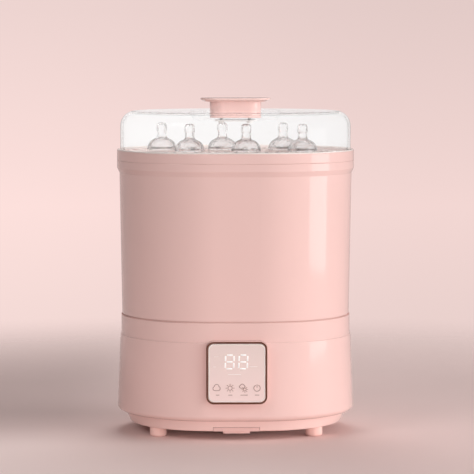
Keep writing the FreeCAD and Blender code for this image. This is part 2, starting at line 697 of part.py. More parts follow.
def bottom_pan():
    """The tray that closes the base from below, with a tunnel for the filter drawer."""
    piece = Piece("bottom_pan", z=PAN_LEVEL)
    oblong_wall(
        piece,
        (PAN_FLOOR_RADIUS, "0"),
        (PAN_RIM_RADIUS, "pan_height"),
        (PAN_RIM_RADIUS, plus("pan_height", "shell_wall")),
        (minus(PAN_RIM_RADIUS, "pan_wall"), plus("pan_height", "shell_wall")),
        (minus(PAN_RIM_RADIUS, "pan_wall"), "pan_height"),
        (minus(PAN_FLOOR_RADIUS, "pan_wall"), "pan_floor"),
        (minus(PAN_FLOOR_RADIUS, "2 * pan_wall"), "pan_floor"),
        (minus(PAN_FLOOR_RADIUS, "2 * pan_wall"), "0"),
    )
    floor = piece.outline().oblong(minus(PAN_FLOOR_RADIUS, "2 * pan_wall"))
    piece.pad(floor, "pan_floor")
    piece.soften("pan_round", on_rim("0", PAN_FLOOR_RADIUS))
    tunnel_half = plus("drawer_width / 2", "fit_gap")
    tunnel_back = plus(f"-{PAN_FLOOR_RADIUS}", "drawer_length", "fit_gap")
    tunnel_top = plus("drawer_height", "fit_gap")
    front = plus(f"-{PAN_FLOOR_RADIUS}", "pan_wall / 2")
    tunnel = piece.outline().rectangle(
        f"-{tunnel_half} - tunnel_wall",
        plus(tunnel_half, "tunnel_wall"),
        front,
        plus(tunnel_back, "tunnel_wall"),
    )
    piece.pad(tunnel, plus(tunnel_top, "tunnel_wall"))
    channel = piece.outline()
    channel.rectangle(f"-{tunnel_half}", tunnel_half, f"-{PAN_RIM_RADIUS} - pan_wall", tunnel_back)
    piece.cut(channel, tunnel_top, reverse=True)
    air_slots(piece, tunnel_top, "2 * tunnel_wall")
    posts = piece.outline("XY_Plane", "pan_floor")
    holes = piece.outline()
    for side, end in CORNERS:
        x = plus("power_x", f"{side}(power_width / 2 - post_inset)")
        y = plus(POWER_Y, f"{end}(power_depth / 2 - post_inset)")
        posts.circle("post_radius", x, y)
        posts.circle("boss_radius", f"{side}pan_screw_x", f"{end}{PAN_SCREW_Y}")
        holes.circle("screw_radius", f"{side}pan_screw_x", f"{end}{PAN_SCREW_Y}")
    piece.pad(posts, "power_lift")
    piece.cut(holes, plus("pan_floor", "power_lift"), reverse=True)


def air_slots(piece, level, depth):
    """A row of narrow slots for air, over and under the filter."""
    slot = piece.outline("XY_Plane", level).rectangle(
        "-air_slot_run / 2 - air_slot_width / 2",
        "-air_slot_run / 2 + air_slot_width / 2",
        f"{FAN_Y} - air_slot_length / 2",
        f"{FAN_Y} + air_slot_length / 2",
    )
    piece.row(piece.cut(slot, depth, reverse=True), "X_Axis", "air_slot_run", "air_slot_count")


CORNERS = (("-", "-"), ("", "-"), ("-", ""), ("", ""))


def feet():
    """Four rubber feet, pressed into the pan."""
    piece = Piece("feet")
    outline = piece.outline()
    reach = minus(PAN_FLOOR_RADIUS, "foot_radius", "foot_margin")
    x = plus("half_spread", f"{reach} * cos(foot_angle * 1 deg)")
    y = f"({reach} * sin(foot_angle * 1 deg))"
    for side, end in CORNERS:
        outline.circle("foot_radius", f"{side}{x}", f"{end}{y}")
    piece.pad(outline, "foot_height")
    piece.soften("foot_round", lambda point: near(point.z, 0))


def pan_screws():
    """Four screws up into the casing's posts, their heads under the pan."""
    piece = Piece("pan_screws", z=minus(PAN_LEVEL, "head_height"))
    heads, shanks = piece.outline(), piece.outline()
    for side, end in CORNERS:
        heads.circle("head_radius", f"{side}pan_screw_x", f"{end}{PAN_SCREW_Y}")
        shanks.circle("screw_radius", f"{side}pan_screw_x", f"{end}{PAN_SCREW_Y}")
    piece.pad(heads, "head_height")
    piece.pad(shanks, "pan_screw_length")


def base_deck():
    """The basin floor that water stands on, with a hole for the heating plate and one for air."""
    piece = Piece("base_deck", z=DECK_LEVEL)
    top = plus("basin_depth", "spigot_height")
    oblong_wall(
        piece,
        (DECK_RADIUS, "0"),
        (DECK_RADIUS, top),
        (minus(DECK_RADIUS, "deck_wall"), top),
        (minus(DECK_RADIUS, "deck_wall"), "0"),
    )
    floor = piece.outline().oblong(minus(DECK_RADIUS, "deck_wall"))
    floor.circle(minus("hot_radius", "gasket_width"), "plate_x", "plate_y")
    duct_outline(floor)
    piece.pad(floor, "deck_floor")


def duct_outline(outline, grow="0"):
    """The air duct's section from above, made larger or smaller all round."""
    return outline.rectangle(
        minus(DUCT_LEFT, grow), plus(DUCT_RIGHT, grow), minus(DUCT_FRONT, grow), plus(DUCT_BACK, grow)
    )


# ---------------------------------------------------------------- the chamber
def chamber():
    piece = Piece("chamber_wall", z=CHAMBER_LEVEL)
    top = plus("chamber_height", "collar_height")
    slope_floor = minus("chamber_height", "collar_slope")
    oblong_wall(
        piece,
        (CHAMBER_FOOT_RADIUS, "0"),
        (CHAMBER_HEAD_RADIUS, slope_floor),
        ("collar_radius", "chamber_height"),
        ("collar_radius", top),
        (COLLAR_BORE, top),
        (COLLAR_BORE, "chamber_height"),
        (minus(CHAMBER_HEAD_RADIUS, "chamber_wall"), minus(slope_floor, "collar_wall")),
        (minus(CHAMBER_FOOT_RADIUS, "chamber_wall"), "0"),
    )
    piece.soften("seam_round", on_rim(top, "collar_radius"))
    piece.soften("edge_round", on_rim("chamber_height", "collar_radius"))
    piece.soften("edge_round", on_rim("0", CHAMBER_FOOT_RADIUS))
    seal = Piece("chamber_seal", z=SEAM_LEVEL)
    outer = minus(CHAMBER_FOOT_RADIUS, "seal_inset")
    ring = seal.outline().oblong(outer)
    ring.oblong(minus(outer, "seal_width"))
    seal.pad(ring, "seal_height")


# ---------------------------------------------------------------- the upper tray
TEAT_PLACES = [
    (plus(f"{row}_shift", f"{column} * {row}_pitch"), f"{side}teat_row_depth")
    for row, side in (("rear", ""), ("front", "-"))
    for column in (-1, 0, 1)
]


def upper_tray():
    piece = Piece("tray_rim", z=TRAY_LEVEL)
    seat = minus("rim_height", "lid_seat")
    shelf_radius = minus(TRAY_SPIGOT_RADIUS, "spigot_wall", "shelf_width")
    under_shelf = minus(seat, "shelf_wall")
    oblong_wall(
        piece,
        ("collar_radius", "0"),
        ("collar_radius", "rim_height"),
        (plus(LID_RADIUS, "fit_gap"), "rim_height"),
        (plus(LID_RADIUS, "fit_gap"), seat),
        (shelf_radius, seat),
        (shelf_radius, under_shelf),
        (minus(TRAY_SPIGOT_RADIUS, "spigot_wall"), under_shelf),
        (minus(TRAY_SPIGOT_RADIUS, "spigot_wall"), "-tray_spigot"),
        (TRAY_SPIGOT_RADIUS, "-tray_spigot"),
        (TRAY_SPIGOT_RADIUS, "0"),
    )
    piece.soften("rim_round", on_rim("rim_height", "collar_radius"))
    piece.soften("seam_round", on_rim("0", "collar_radius"))

    grid = Piece("tray_grid", z=LID_LEVEL)
    edge = minus(LID_BORE, "fit_gap")
    plate = grid.outline().oblong(edge)
    grid.pad(plate, "grid_thickness")
    lip = grid.outline("XY_Plane", "0").oblong(edge)
    lip.oblong(minus(edge, "grid_lip_wall"))
    grid.pad(lip, "grid_lip")
    pegs = grid.outline("XY_Plane", "grid_thickness")
    for x, y in TEAT_PLACES:
        pegs.circle("peg_radius", x, y)
        pegs.circle(minus("peg_radius", "peg_wall"), x, y)
    grid.pad(pegs, "peg_height")
    holes = grid.outline("XY_Plane", "grid_thickness")
    for x, y in TEAT_PLACES:
        holes.circle(minus("peg_radius", "2 * peg_wall"), x, y)
    grid.cut(holes, "grid_thickness")
    slot = grid.outline("XY_Plane", "grid_thickness")
    slot_y = plus("teat_row_depth", "teat_radius", "grid_slot_length / 2", "grid_slot_width")
    for row in ("-", ""):
        place = ("-grid_run / 2", f"{row}{slot_y}")
        slot.oblong("grid_slot_width / 2", "grid_slot_length / 2", *place, upright=True)
    grid.row(grid.cut(slot, "grid_thickness"), "X_Axis", "grid_run", "grid_slot_count")


def teats():
    """Six soft silicone teats, set down on the tray to be dried: hollow, open below."""
    dome = [
        ("teat_radius", "teat_skirt"),
        ("teat_shoulder_radius", "teat_shoulder"),
        ("teat_throat_radius", "teat_throat"),
        ("teat_neck_radius", "teat_neck"),
    ]
    inside = [(minus(radius, "teat_wall"), minus(height, "teat_wall / 2")) for radius, height in dome]
    for number, (x, y) in enumerate(TEAT_PLACES, start=1):
        turned(
            f"teat_{number}", x, y, GRID_TOP,
            ("teat_radius", "0"),
            *dome,
            ("teat_neck_radius", "teat_neck_end"),
            ("teat_tip_radius", "teat_tip"),
            ("teat_crown_radius", "teat_height"),
            ("0", "teat_height"),
            ("0", minus("teat_height", "teat_wall")),
            (minus("teat_neck_radius", "teat_wall"), "teat_tip"),
            *reversed(inside),
            (minus("teat_radius", "teat_wall"), "0"),
        )


# ---------------------------------------------------------------- the lid
def lid():
    shell = Piece("lid_shell", z=LID_LEVEL)
    height = plus("lid_seat", "lid_height")
    shell.pad(shell.outline().oblong(LID_RADIUS), height)
    shell.cut(shell.outline().oblong(LID_BORE), minus(height, "lid_wall"), reverse=True)
    shell.soften(minus("lid_round", "lid_wall"), on_rim(minus(height, "lid_wall"), LID_BORE))
    shell.soften("lid_round", on_rim(height, LID_RADIUS))
    narrowing = "atan(recess_draft / recess_depth)"
    dish = shell.outline("XY_Plane", height).oblong(plus("recess_radius", "lid_wall"), "recess_spread")
    shell.pad(dish, plus("recess_depth", "lid_wall"), reverse=True, taper=f"-{narrowing}")
    recess = shell.outline("XY_Plane", height).oblong("recess_radius", "recess_spread")
    shell.cut(recess, "recess_depth", taper=f"-{narrowing}")
    shell.soften("recess_round", on_rim(height, "recess_radius", "recess_spread"))
    openings = shell.outline("XY_Plane", height)
    slot_half = minus("vent_length / 2", "vent_width / 2")
    for x in ("vent_inner", "vent_outer", "-vent_inner", "-vent_outer"):
        openings.oblong("vent_width / 2", slot_half, x, "0", upright=True)
    for side in ("-", ""):
        openings.circle("screw_radius", f"{side}screw_spread")
    shell.cut(openings, "2 * recess_depth")

    grip = Piece("handle_stem", z=GRIP_LEVEL)
    grip.pad(grip.outline().oblong("grip_radius", "grip_spread"), "grip_height")
    hollow = grip.outline().oblong(minus("grip_radius", "grip_wall"), "grip_spread")
    grip.cut(hollow, minus("grip_height", "grip_wall"), reverse=True)
    bosses, bores = grip.outline(), grip.outline()
    for side in ("-", ""):
        bosses.circle("boss_radius", f"{side}screw_spread")
        bores.circle("screw_radius", f"{side}screw_spread")
    grip.pad(bosses, minus("grip_height", "grip_wall"))
    grip.cut(bores, minus("grip_height", "2 * grip_wall"), reverse=True)

    plate = Piece("handle_plate", z=plus(GRIP_LEVEL, "grip_height"))
    flare = plate.outline().oblong(minus("plate_radius", "flare_slope * plate_flare"), "plate_spread")
    plate.pad(flare, "plate_flare", taper="atan(flare_slope)")
    edge = plate.outline("XY_Plane", "plate_flare").oblong("plate_radius", "plate_spread")
    plate.pad(edge, "plate_edge")
    plate.soften("plate_round", on_rim(plus("plate_flare", "plate_edge"), "plate_radius", "plate_spread"))

    seal = Piece("handle_seal", z=RECESS_LEVEL)
    ring = seal.outline().oblong("grip_radius", "grip_spread")
    ring.oblong(minus("grip_radius", "grip_wall"), "grip_spread")
    seal.pad(ring, "grip_seal")

    backing_level = minus(RECESS_LEVEL, "lid_wall", "backing_thickness")
    backing = Piece("handle_backing", z=backing_level)
    clamp = backing.outline().oblong("grip_radius / 2", "screw_spread")
    for side in ("-", ""):
        clamp.circle("screw_radius", f"{side}screw_spread")
    backing.pad(clamp, "backing_thickness")

    screws = Piece("handle_screws", z=minus(backing_level, "head_height"))
    heads, shanks = screws.outline(), screws.outline()
    for side in ("-", ""):
        heads.circle("head_radius", f"{side}screw_spread")
        shanks.circle("screw_radius", f"{side}screw_spread")
    screws.pad(heads, "head_height")
    length = plus("head_height", "backing_thickness", "lid_wall", "grip_seal", "grip_height / 2")
    screws.pad(shanks, length)


# ---------------------------------------------------------------- the bottle rack
def rack():
    plate = Piece("rack_plate", z=RACK_LEVEL)
    plate.pad(plate.outline().oblong(RACK_RADIUS), "rack_thickness")
    slot = plate.outline("XY_Plane", "rack_thickness")
    half = "(rack_slot_length / 2 - rack_slot_width / 2)"
    for row in ("-", ""):
        slot_y = f"{row}(rack_slot_length / 2 + rack_slot_width)"
        slot.oblong("rack_slot_width / 2", half, "-rack_run / 2", slot_y, upright=True)
    plate.row(plate.cut(slot, "rack_thickness"), "X_Axis", "rack_run", "rack_slot_count")
    legs = Piece("rack_legs", z=BASIN_LEVEL)
    outline = legs.outline()
    for side, end in CORNERS:
        outline.circle("rack_leg_radius", f"{side}rack_leg_x", f"{end}{RACK_LEG_Y}")
    legs.pad(outline, "rack_lift")
    spikes = Piece("bottle_spikes", z=plus(RACK_LEVEL, "rack_thickness"))
    outline = spikes.outline()
    for column in (-1, 0, 1):
        for end in ("-", ""):
            outline.circle("spike_radius", f"{column} * spike_pitch_x", f"{end}spike_y")
    spikes.pad(outline, "spike_height", taper="-spike_draft")
    turned(
        "rack_post", "0", "0", plus(RACK_LEVEL, "rack_thickness"),
        ("0", "0"),
        ("rack_post_radius", "0"),
        ("rack_post_radius", "rack_post_height"),
        ("knob_radius", plus("rack_post_height", "knob_height / 3")),
        ("knob_radius", plus("rack_post_height", "knob_height")),
        ("0", plus("rack_post_height", "knob_height")),
    )


# ---------------------------------------------------------------- the control pod
def control_pod():
    half = "(pod_width / 2)"
    trim_back = minus(POD_FACE, "trim_depth")

    def frame(outline, inset):
        """The pod's rounded outline, brought in all round."""
        return outline.rounded(
            minus(inset, half),
            minus(half, inset),
            plus(POD_FLOOR, inset),
            minus(plus(POD_FLOOR, "pod_height"), inset),
            minus("pod_round", inset),
        )

    pod = Piece("control_pod")
    pod.pad(frame(pod.outline("XZ_Plane", minus(trim_back, "pod_depth")), "0"), "pod_depth")
    hollow = frame(pod.outline("XZ_Plane", trim_back), "pod_wall")
    pod.cut(hollow, minus("pod_depth", "pod_wall"))
    ribbon = pod.outline("XZ_Plane", trim_back).rectangle(
        "-ribbon_width / 2",
        "ribbon_width / 2",
        plus(POD_FLOOR, "ribbon_up"),
        plus(POD_FLOOR, "ribbon_up", "ribbon_height"),
    )
    pod.cut(ribbon, "2 * pod_depth")

    trim = Piece("panel_trim")
    ring = frame(trim.outline("XZ_Plane", trim_back), "0")
    frame(ring, "trim_width")
    trim.pad(ring, "trim_depth")
    outer = value(POD_FACE)
    trim.soften("seam_round", lambda point: near(point.y, -outer), "Chamfer")

    face = Piece("panel_face")
    face_back = minus(POD_FACE, "face_inset", "face_thickness")
    face.pad(frame(face.outline("XZ_Plane", face_back), "pod_wall + seat_gap"), "face_thickness")

    board_back = minus(face_back, "board_setback", "board_thickness")
    board = Piece("display_board")
    board.pad(
        frame(board.outline("XZ_Plane", board_back), "pod_wall + fit_gap"), "board_thickness"
    )

    digits = Piece("digit_display")
    middle = minus(plus(POD_FLOOR, "pod_height"), "digits_up")
    window = digits.outline("XZ_Plane", plus(board_back, "board_thickness")).rectangle(
        "-digits_width / 2",
        "digits_width / 2",
        minus(middle, "digits_height / 2"),
        plus(middle, "digits_height / 2"),
    )
    digits.pad(window, "board_setback")

    springs = Piece("touch_springs")
    rings = springs.outline("XZ_Plane", plus(board_back, "board_thickness"))
    for place in (-1.5, -0.5, 0.5, 1.5):
        x, z = f"{place} * key_pitch", plus(POD_FLOOR, "key_up")
        rings.circle("key_radius", x, z)
        rings.circle("key_bore", x, z)
    springs.pad(rings, "board_setback")


# ---------------------------------------------------------------- the mains inlet
def mains_inlet():
    middle = plus(INLET_FLOOR, "inlet_height / 2")
    low, high = minus(middle, "socket_height / 2"), plus(middle, "socket_height / 2")
    face = plus(INLET_FACE, "flange_thickness")
    socket = Piece("inlet_socket")
    body = socket.outline("XZ_Plane", f"-{INLET_FACE}")
    body.rectangle("-socket_width / 2", "socket_width / 2", low, high)
    socket.pad(body, "socket_depth")
    flange = socket.outline("XZ_Plane", f"-{face}").rounded(
        "-socket_width / 2 - socket_flange",
        "socket_width / 2 + socket_flange",
        minus(low, "socket_wall"),
        plus(high, "socket_wall"),
        "socket_wall",
    )
    socket.pad(flange, "flange_thickness")
    mouth = socket.outline("XZ_Plane", f"-{face}").rectangle(
        "-socket_width / 2 + socket_wall", "socket_width / 2 - socket_wall",
        plus(low, "socket_wall"), minus(high, "socket_wall"),
    )
    socket.cut(mouth, plus("flange_thickness", "socket_depth", "-socket_wall"), reverse=True)
    screw_x = "(socket_width / 2 + socket_flange / 2)"
    holes = socket.outline("XZ_Plane", f"-{face}")
    for side in ("-", ""):
        holes.circle("screw_radius", f"{side}{screw_x}", middle)
    socket.cut(holes, "flange_thickness", reverse=True)

    blades = Piece("inlet_blades")
    back = plus("socket_wall", minus(INLET_FACE, "socket_depth"))
    outline = blades.outline("XZ_Plane", f"-{back} - blade_length")
    for place, rise in ((-1, "-live_drop"), (0, "earth_rise"), (1, "-live_drop")):
        x = f"{place} * blade_pitch"
        z = plus(middle, rise)
        outline.rectangle(
            minus(x, "blade_thickness / 2"), plus(x, "blade_thickness / 2"),
            minus(z, "blade_width / 2"), plus(z, "blade_width / 2"),
        )
    blades.pad(outline, "blade_length")

    screws = Piece("inlet_screws")
    heads = screws.outline("XZ_Plane", f"-{face} - head_height")
    shanks = screws.outline("XZ_Plane", f"-{face}")
    for side in ("-", ""):
        heads.circle("head_radius", f"{side}{screw_x}", middle)
        shanks.circle("screw_radius", f"{side}{screw_x}", middle)
    screws.pad(heads, "head_height")
    screws.pad(shanks, "flange_thickness")
    inlet_leads(middle)


def inlet_leads(level):
    """Two leads from the socket's back, in one bend down to the terminal block."""
    leads = Piece("inlet_leads")
    start = minus(INLET_FACE, "socket_depth")
    end_y = plus(POWER_Y, "power_depth / 2", "-block_depth")
    end_z = plus(POWER_LEVEL, "board_thickness", "block_height")
    bend = minus(level, end_z, "lead_radius")
    route = leads.outline("YZ_Plane", "blade_pitch")
    turn_y = plus(end_y, bend)
    y, z, r = value(turn_y), value(level), value(bend)
    curves = [
        route.line(value(start), z, y, z),
        route.arc(y, z - r, r, 90, 180),
        route.line(y - r, z - r, y - r, value(end_z)),
    ]
    route.rule("Tangent", curves[0], 2, curves[1], 1)
    route.rule("Tangent", curves[1], 2, curves[2], 1)
    route.hold("Radius", curves[1], to=bend)
    route.place(curves[0], 1, start, level)
    route.place(curves[2], 2, end_y, end_z)
    section = leads.outline("XZ_Plane", f"-{start}").circle("lead_radius", "blade_pitch", level)
    pipe = leads.body.newObject("PartDesign::AdditivePipe", "inlet_leads_pipe")
    pipe.Profile = section.finish()
    pipe.Spine = (route.finish(), [])
    leads.mirror([pipe], "YZ_Plane")


# ---------------------------------------------------------------- heating
def heating():
    plate = Piece("heating_plate", "plate_x", "plate_y", HOT_LEVEL)
    plate.pad(plate.outline().circle("hot_radius"), "hot_thickness")
    gasket = Piece("plate_gasket", "plate_x", "plate_y", plus(HOT_LEVEL, "hot_thickness"))
    ring = gasket.outline().circle("hot_radius").circle(minus("hot_radius", "gasket_width"))
    gasket.pad(ring, "gasket_thickness")

    tube_level = minus(HOT_LEVEL, "element_tube")
    ring = solid(
        "Torus", "element_ring", "plate_x", "plate_y", tube_level, keep=False,
        Radius1="element_radius", Radius2="element_tube", Angle3="element_span",
    )
    ends = []
    for number, angle in enumerate(("0", "element_span * 1 deg")):
        x = plus("plate_x", f"element_radius * cos({angle})")
        y = plus("plate_y", f"element_radius * sin({angle})")
        level = minus(tube_level, "terminal_length")
        end = rod(f"element_end_{number}", x, y, level, "element_tube / 2", "terminal_length", keep=False)
        ends.append(end)
    joined("heating_element", ring, *ends)

    strap = Piece("thermostat_strap", "plate_x", "plate_y", STRAP_LEVEL)
    half = plus("element_radius", "element_tube")
    outline = strap.outline().rectangle("-strap_width / 2", "strap_width / 2", f"-{half}", half)
    strap.pad(outline, "strap_thickness")
    stat_level = plus(STRAP_LEVEL, "strap_thickness")
    rod("thermostat", "plate_x", "plate_y", stat_level, "stat_radius", "2 * element_tube")

    fuse = Piece("thermal_fuse", "plate_x", plus("plate_y", "fuse_y"), minus(HOT_LEVEL, "fuse_radius"))
    outline = fuse.outline("YZ_Plane", "-fuse_length / 2").circle("fuse_radius")
    fuse.pad(outline, "fuse_length")


# ---------------------------------------------------------------- the drying fan
def fan():
    lower = FAN_LEVEL
    volute = Piece("fan_housing", y=FAN_Y, z=lower)
    front, back = "-volute_radius", plus("-volute_radius", "outlet_width")
    volute.pad(volute.outline().circle("volute_radius"), "volute_height")
    volute.pad(volute.outline().rectangle("0", DUCT_LEFT, front, back), "volute_height")
    inside = volute.outline().circle(minus("volute_radius", "volute_wall"))
    volute.cut(inside, minus("volute_height", "volute_wall"), reverse=True)
    outlet = volute.outline("XY_Plane", "volute_wall").rectangle(
        "0", plus(DUCT_LEFT, "volute_wall"), plus(front, "volute_wall"), minus(back, "volute_wall")
    )
    volute.cut(outlet, minus("volute_height", "2 * volute_wall"), reverse=True)
    volute.cut(volute.outline().circle("bush_radius"), "2 * volute_height", reverse=True)

    cover = Piece("fan_cover", y=FAN_Y, z=ROOF_LEVEL)
    disc = cover.outline().circle("volute_radius").circle("inlet_hole")
    cover.pad(disc, "volute_lift")

    roof = plus(lower, "volute_height")
    can = Piece("motor_can", y=FAN_Y, z=roof)
    can.pad(can.outline().circle("motor_radius"), "motor_height")
    inside = can.outline().circle(minus("motor_radius", "motor_wall"))
    can.cut(inside, minus("motor_height", "motor_wall"), reverse=True)

    bushes = Piece("motor_bushes", y=FAN_Y, z=roof)
    for level in ("-volute_wall", minus("motor_height", "motor_wall", "bush_height")):
        ring = bushes.outline("XY_Plane", level).circle("bush_radius")
        ring.circle(plus("shaft_radius", "running_gap"))
        bushes.pad(ring, "bush_height")

    screws = Piece("fan_screws", y=FAN_Y, z=roof)
    ring = screws.outline()
    for angle in ("45 deg", "135 deg", "225 deg", "315 deg"):
        reach = "(volute_radius - 2 * head_radius)"
        ring.circle("head_radius", f"{reach} * cos({angle})", f"{reach} * sin({angle})")
    screws.pad(ring, "head_height")

    wheel_level = plus(lower, "wheel_gap")
    wheel = Piece("fan_wheel", y=FAN_Y, z=wheel_level)
    plate_level = minus("wheel_height", "wheel_plate")
    wheel.pad(wheel.outline("XY_Plane", plate_level).circle("wheel_radius"), "wheel_plate")
    wheel.pad(wheel.outline("XY_Plane", plate_level).circle("wheel_hub"), "wheel_height / 2", reverse=True)
    blade = wheel.outline().rectangle(
        minus("wheel_radius", "fan_blade_depth"),
        minus("wheel_radius", "fan_blade_inset"),
        "-fan_blade_width / 2",
        "fan_blade_width / 2",
    )
    first = wheel.pad(blade, plus(plate_level, "wheel_plate / 2"))
    wheel.ring(first, "blade_count")
    bore = wheel.outline("XY_Plane", "wheel_height").circle("shaft_radius")
    wheel.cut(bore, "wheel_height")

    shaft_floor = plus(wheel_level, "wheel_height / 2")
    top = minus(plus(roof, "motor_height"), "motor_wall", "running_gap")
    rod("fan_shaft", "0", FAN_Y, shaft_floor, "shaft_radius", minus(top, shaft_floor))
    magnet = Piece("motor_magnet", y=FAN_Y, z=plus(roof, "motor_height / 2", "-magnet_height / 2"))
    magnet.pad(magnet.outline().circle("magnet_radius").circle("shaft_radius"), "magnet_height")


# ---------------------------------------------------------------- the air duct, its heater and its tower
def air_duct():
    lower = FAN_LEVEL
    top = minus(DECK_LEVEL, lower)
    duct = Piece("air_duct", z=lower)
    duct.pad(duct_outline(duct.outline()), top)
    inner = duct_outline(duct.outline("XY_Plane", "duct_wall"), "-duct_wall")
    duct.cut(inner, top, reverse=True)
    mouth = duct.outline("YZ_Plane", DUCT_LEFT).rectangle(
        plus(DUCT_FRONT, "duct_wall"), minus(DUCT_BACK, "duct_wall"),
        "volute_wall", minus("volute_height", "volute_wall"),
    )
    duct.cut(mouth, "2 * duct_wall", reverse=True)

    heater = Piece("air_heater", z=plus(lower, "volute_height", "heater_level"))
    block_outline = duct_outline(heater.outline(), "-duct_wall - seat_gap")
    middle_x, middle_y = f"({DUCT_LEFT} + {DUCT_RIGHT}) / 2", f"({DUCT_FRONT} + {DUCT_BACK}) / 2"
    for column in (-1, 0, 1):
        for row in (-1, 0, 1):
            x = plus(middle_x, f"{column} * heater_hole_pitch")
            y = plus(middle_y, f"{row} * heater_hole_pitch")
            half = "heater_hole_width / 2"
            block_outline.rectangle(minus(x, half), plus(x, half), minus(y, half), plus(y, half))
    heater.pad(block_outline, "heater_height")

    tower = Piece("air_tower", z=DECK_LEVEL)
    height = plus("deck_floor", "tower_height")
    tower.pad(duct_outline(tower.outline(), "-seat_gap"), height)
    tower.cut(duct_outline(tower.outline(), "-seat_gap - tower_wall"), height, reverse=True)
    slots = tower.outline("YZ_Plane", DUCT_LEFT).rectangle(
        plus(DUCT_FRONT, "2 * tower_wall"), minus(DUCT_BACK, "2 * tower_wall"),
        minus(height, "tower_slot"), minus(height, "tower_wall"),
    )
    tower.cut(slots, plus("duct_length", "tower_wall"), reverse=True)
    cap = Piece("tower_cap", z=plus(DECK_LEVEL, height))
    cap.pad(duct_outline(cap.outline(), "cap_overhang"), "cap_thickness")
    collar = Piece("tower_seal", z=BASIN_LEVEL)
    ring = duct_outline(collar.outline(), "cap_overhang")
    duct_outline(ring, "-seat_gap")
    collar.pad(ring, "seal_height")


# ---------------------------------------------------------------- the filter drawer
def filter_drawer():
    half = "(drawer_width / 2)"
    slope = "pan_taper / pan_height"
    drawer = Piece("filter_drawer", z=PAN_LEVEL)
    front = f"-{PAN_FLOOR_RADIUS}"
    back = plus(front, "drawer_length")
    side = drawer.outline("YZ_Plane", f"-{half}").polygon(
        (front, "0"),
        (back, "0"),
        (back, "drawer_height"),
        (minus(front, f"drawer_height * {slope}"), "drawer_height"),
    )
    drawer.pad(side, "drawer_width")
    bed = drawer.outline("XY_Plane", "drawer_wall").rectangle(
        plus("-drawer_width / 2", "drawer_wall"), minus("drawer_width / 2", "drawer_wall"),
        plus(front, "tab_setback", "tab_depth"), minus(back, "drawer_wall"),
    )
    drawer.cut(bed, "drawer_height", reverse=True)
    air_slots(drawer, "0", "2 * drawer_wall")
    lip = drawer.outline().rounded(
        "-tab_width / 2",
        "tab_width / 2",
        plus(front, "tab_setback"),
        plus(front, "tab_setback", "tab_depth"),
        "tab_drop / 2",
    )
    drawer.pad(lip, "tab_drop", reverse=True)

    element = Piece("air_filter", z=plus(PAN_LEVEL, "drawer_wall"))
    pad = element.outline().rectangle(
        plus("-drawer_width / 2", "drawer_wall", "seat_gap"),
        minus("drawer_width / 2", "drawer_wall", "seat_gap"),
        plus(front, "tab_setback", "tab_depth", "seat_gap"),
        minus(back, "drawer_wall", "seat_gap"),
    )
    element.pad(pad, "filter_thickness")


# ---------------------------------------------------------------- the power board
def power_board():
    top = plus(POWER_LEVEL, "board_thickness")
    sides = ("power_width", "power_depth", "board_thickness")
    block("power_board", "power_x", POWER_Y, POWER_LEVEL, *sides)
    left, right = minus("power_x", "power_width / 4"), plus("power_x", "power_width / 4")
    row_y = minus(POWER_Y, "block_depth / 2")
    block("transformer", left, row_y, top, "coil_width", "coil_depth", "coil_height")
    block("relay", right, row_y, top, "relay_width", "relay_depth", "relay_height")
    edge = plus(POWER_Y, "power_depth / 2", "-block_depth")
    block("terminal_block", "0", edge, top, "block_width", "block_depth", "block_height")


for make in (
    base_housing, bottom_pan, feet, pan_screws, base_deck, chamber, upper_tray, teats, lid, rack,
    control_pod, mains_inlet, heating, fan, air_duct, filter_drawer, power_board,
):
    make()
doc.recompute()

# ---------------------------------------------------------------- checks, then one file for each sub-part
for item in doc.Objects:
    if "Invalid" in item.State or "Error" in item.State:
        raise RuntimeError(f"{item.Label} failed: {item.getStatusString()}")
    base = getattr(item, "BaseFeature", None)
    if base and item.isDerivedFrom("PartDesign::Feature") and base.isDerivedFrom("PartDesign::Feature"):
        if abs(item.Shape.Volume - base.Shape.Volume) < 1e-6:
            raise RuntimeError(f"{item.Label} changes nothing")
        if item.TypeId == "PartDesign::Pocket" and item.Shape.Volume > base.Shape.Volume:
            raise RuntimeError(f"{item.Label} doesn't cut")
os.makedirs("parts", exist_ok=True)
for item in pieces:
    if item.Shape.isNull() or not item.Shape.isValid():
        raise RuntimeError(f"{item.Label} has no valid shape")
for item in pieces:
    item.Shape.exportStep(f"parts/{item.Label}.step")
print(len(pieces), "sub-parts written")
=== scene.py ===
"""Looks of a baby-bottle steriliser and dryer: plastics, clear lid and tray, teats, touch panel."""

import json
import math

import bpy
from bpy.props import FloatProperty, FloatVectorProperty, IntProperty, PointerProperty
from mathutils import Euler, Matrix, Vector


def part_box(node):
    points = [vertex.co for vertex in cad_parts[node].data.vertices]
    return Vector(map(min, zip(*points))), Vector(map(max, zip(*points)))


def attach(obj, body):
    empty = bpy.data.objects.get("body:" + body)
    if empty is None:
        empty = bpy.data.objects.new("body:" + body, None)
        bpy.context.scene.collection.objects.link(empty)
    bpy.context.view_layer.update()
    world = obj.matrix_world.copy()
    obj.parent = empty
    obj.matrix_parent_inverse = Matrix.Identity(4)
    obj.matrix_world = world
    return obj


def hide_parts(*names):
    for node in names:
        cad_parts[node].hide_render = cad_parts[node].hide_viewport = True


bl_info = {
    "name": "Bottle Steriliser",
    "version": (1, 0, 0),
    "blender": (4, 5, 0),
    "location": "3D View > Sidebar > Steriliser",
    "description": "Finishes, teats, touch panel and studio of a baby-bottle steriliser",
    "category": "Object",
}

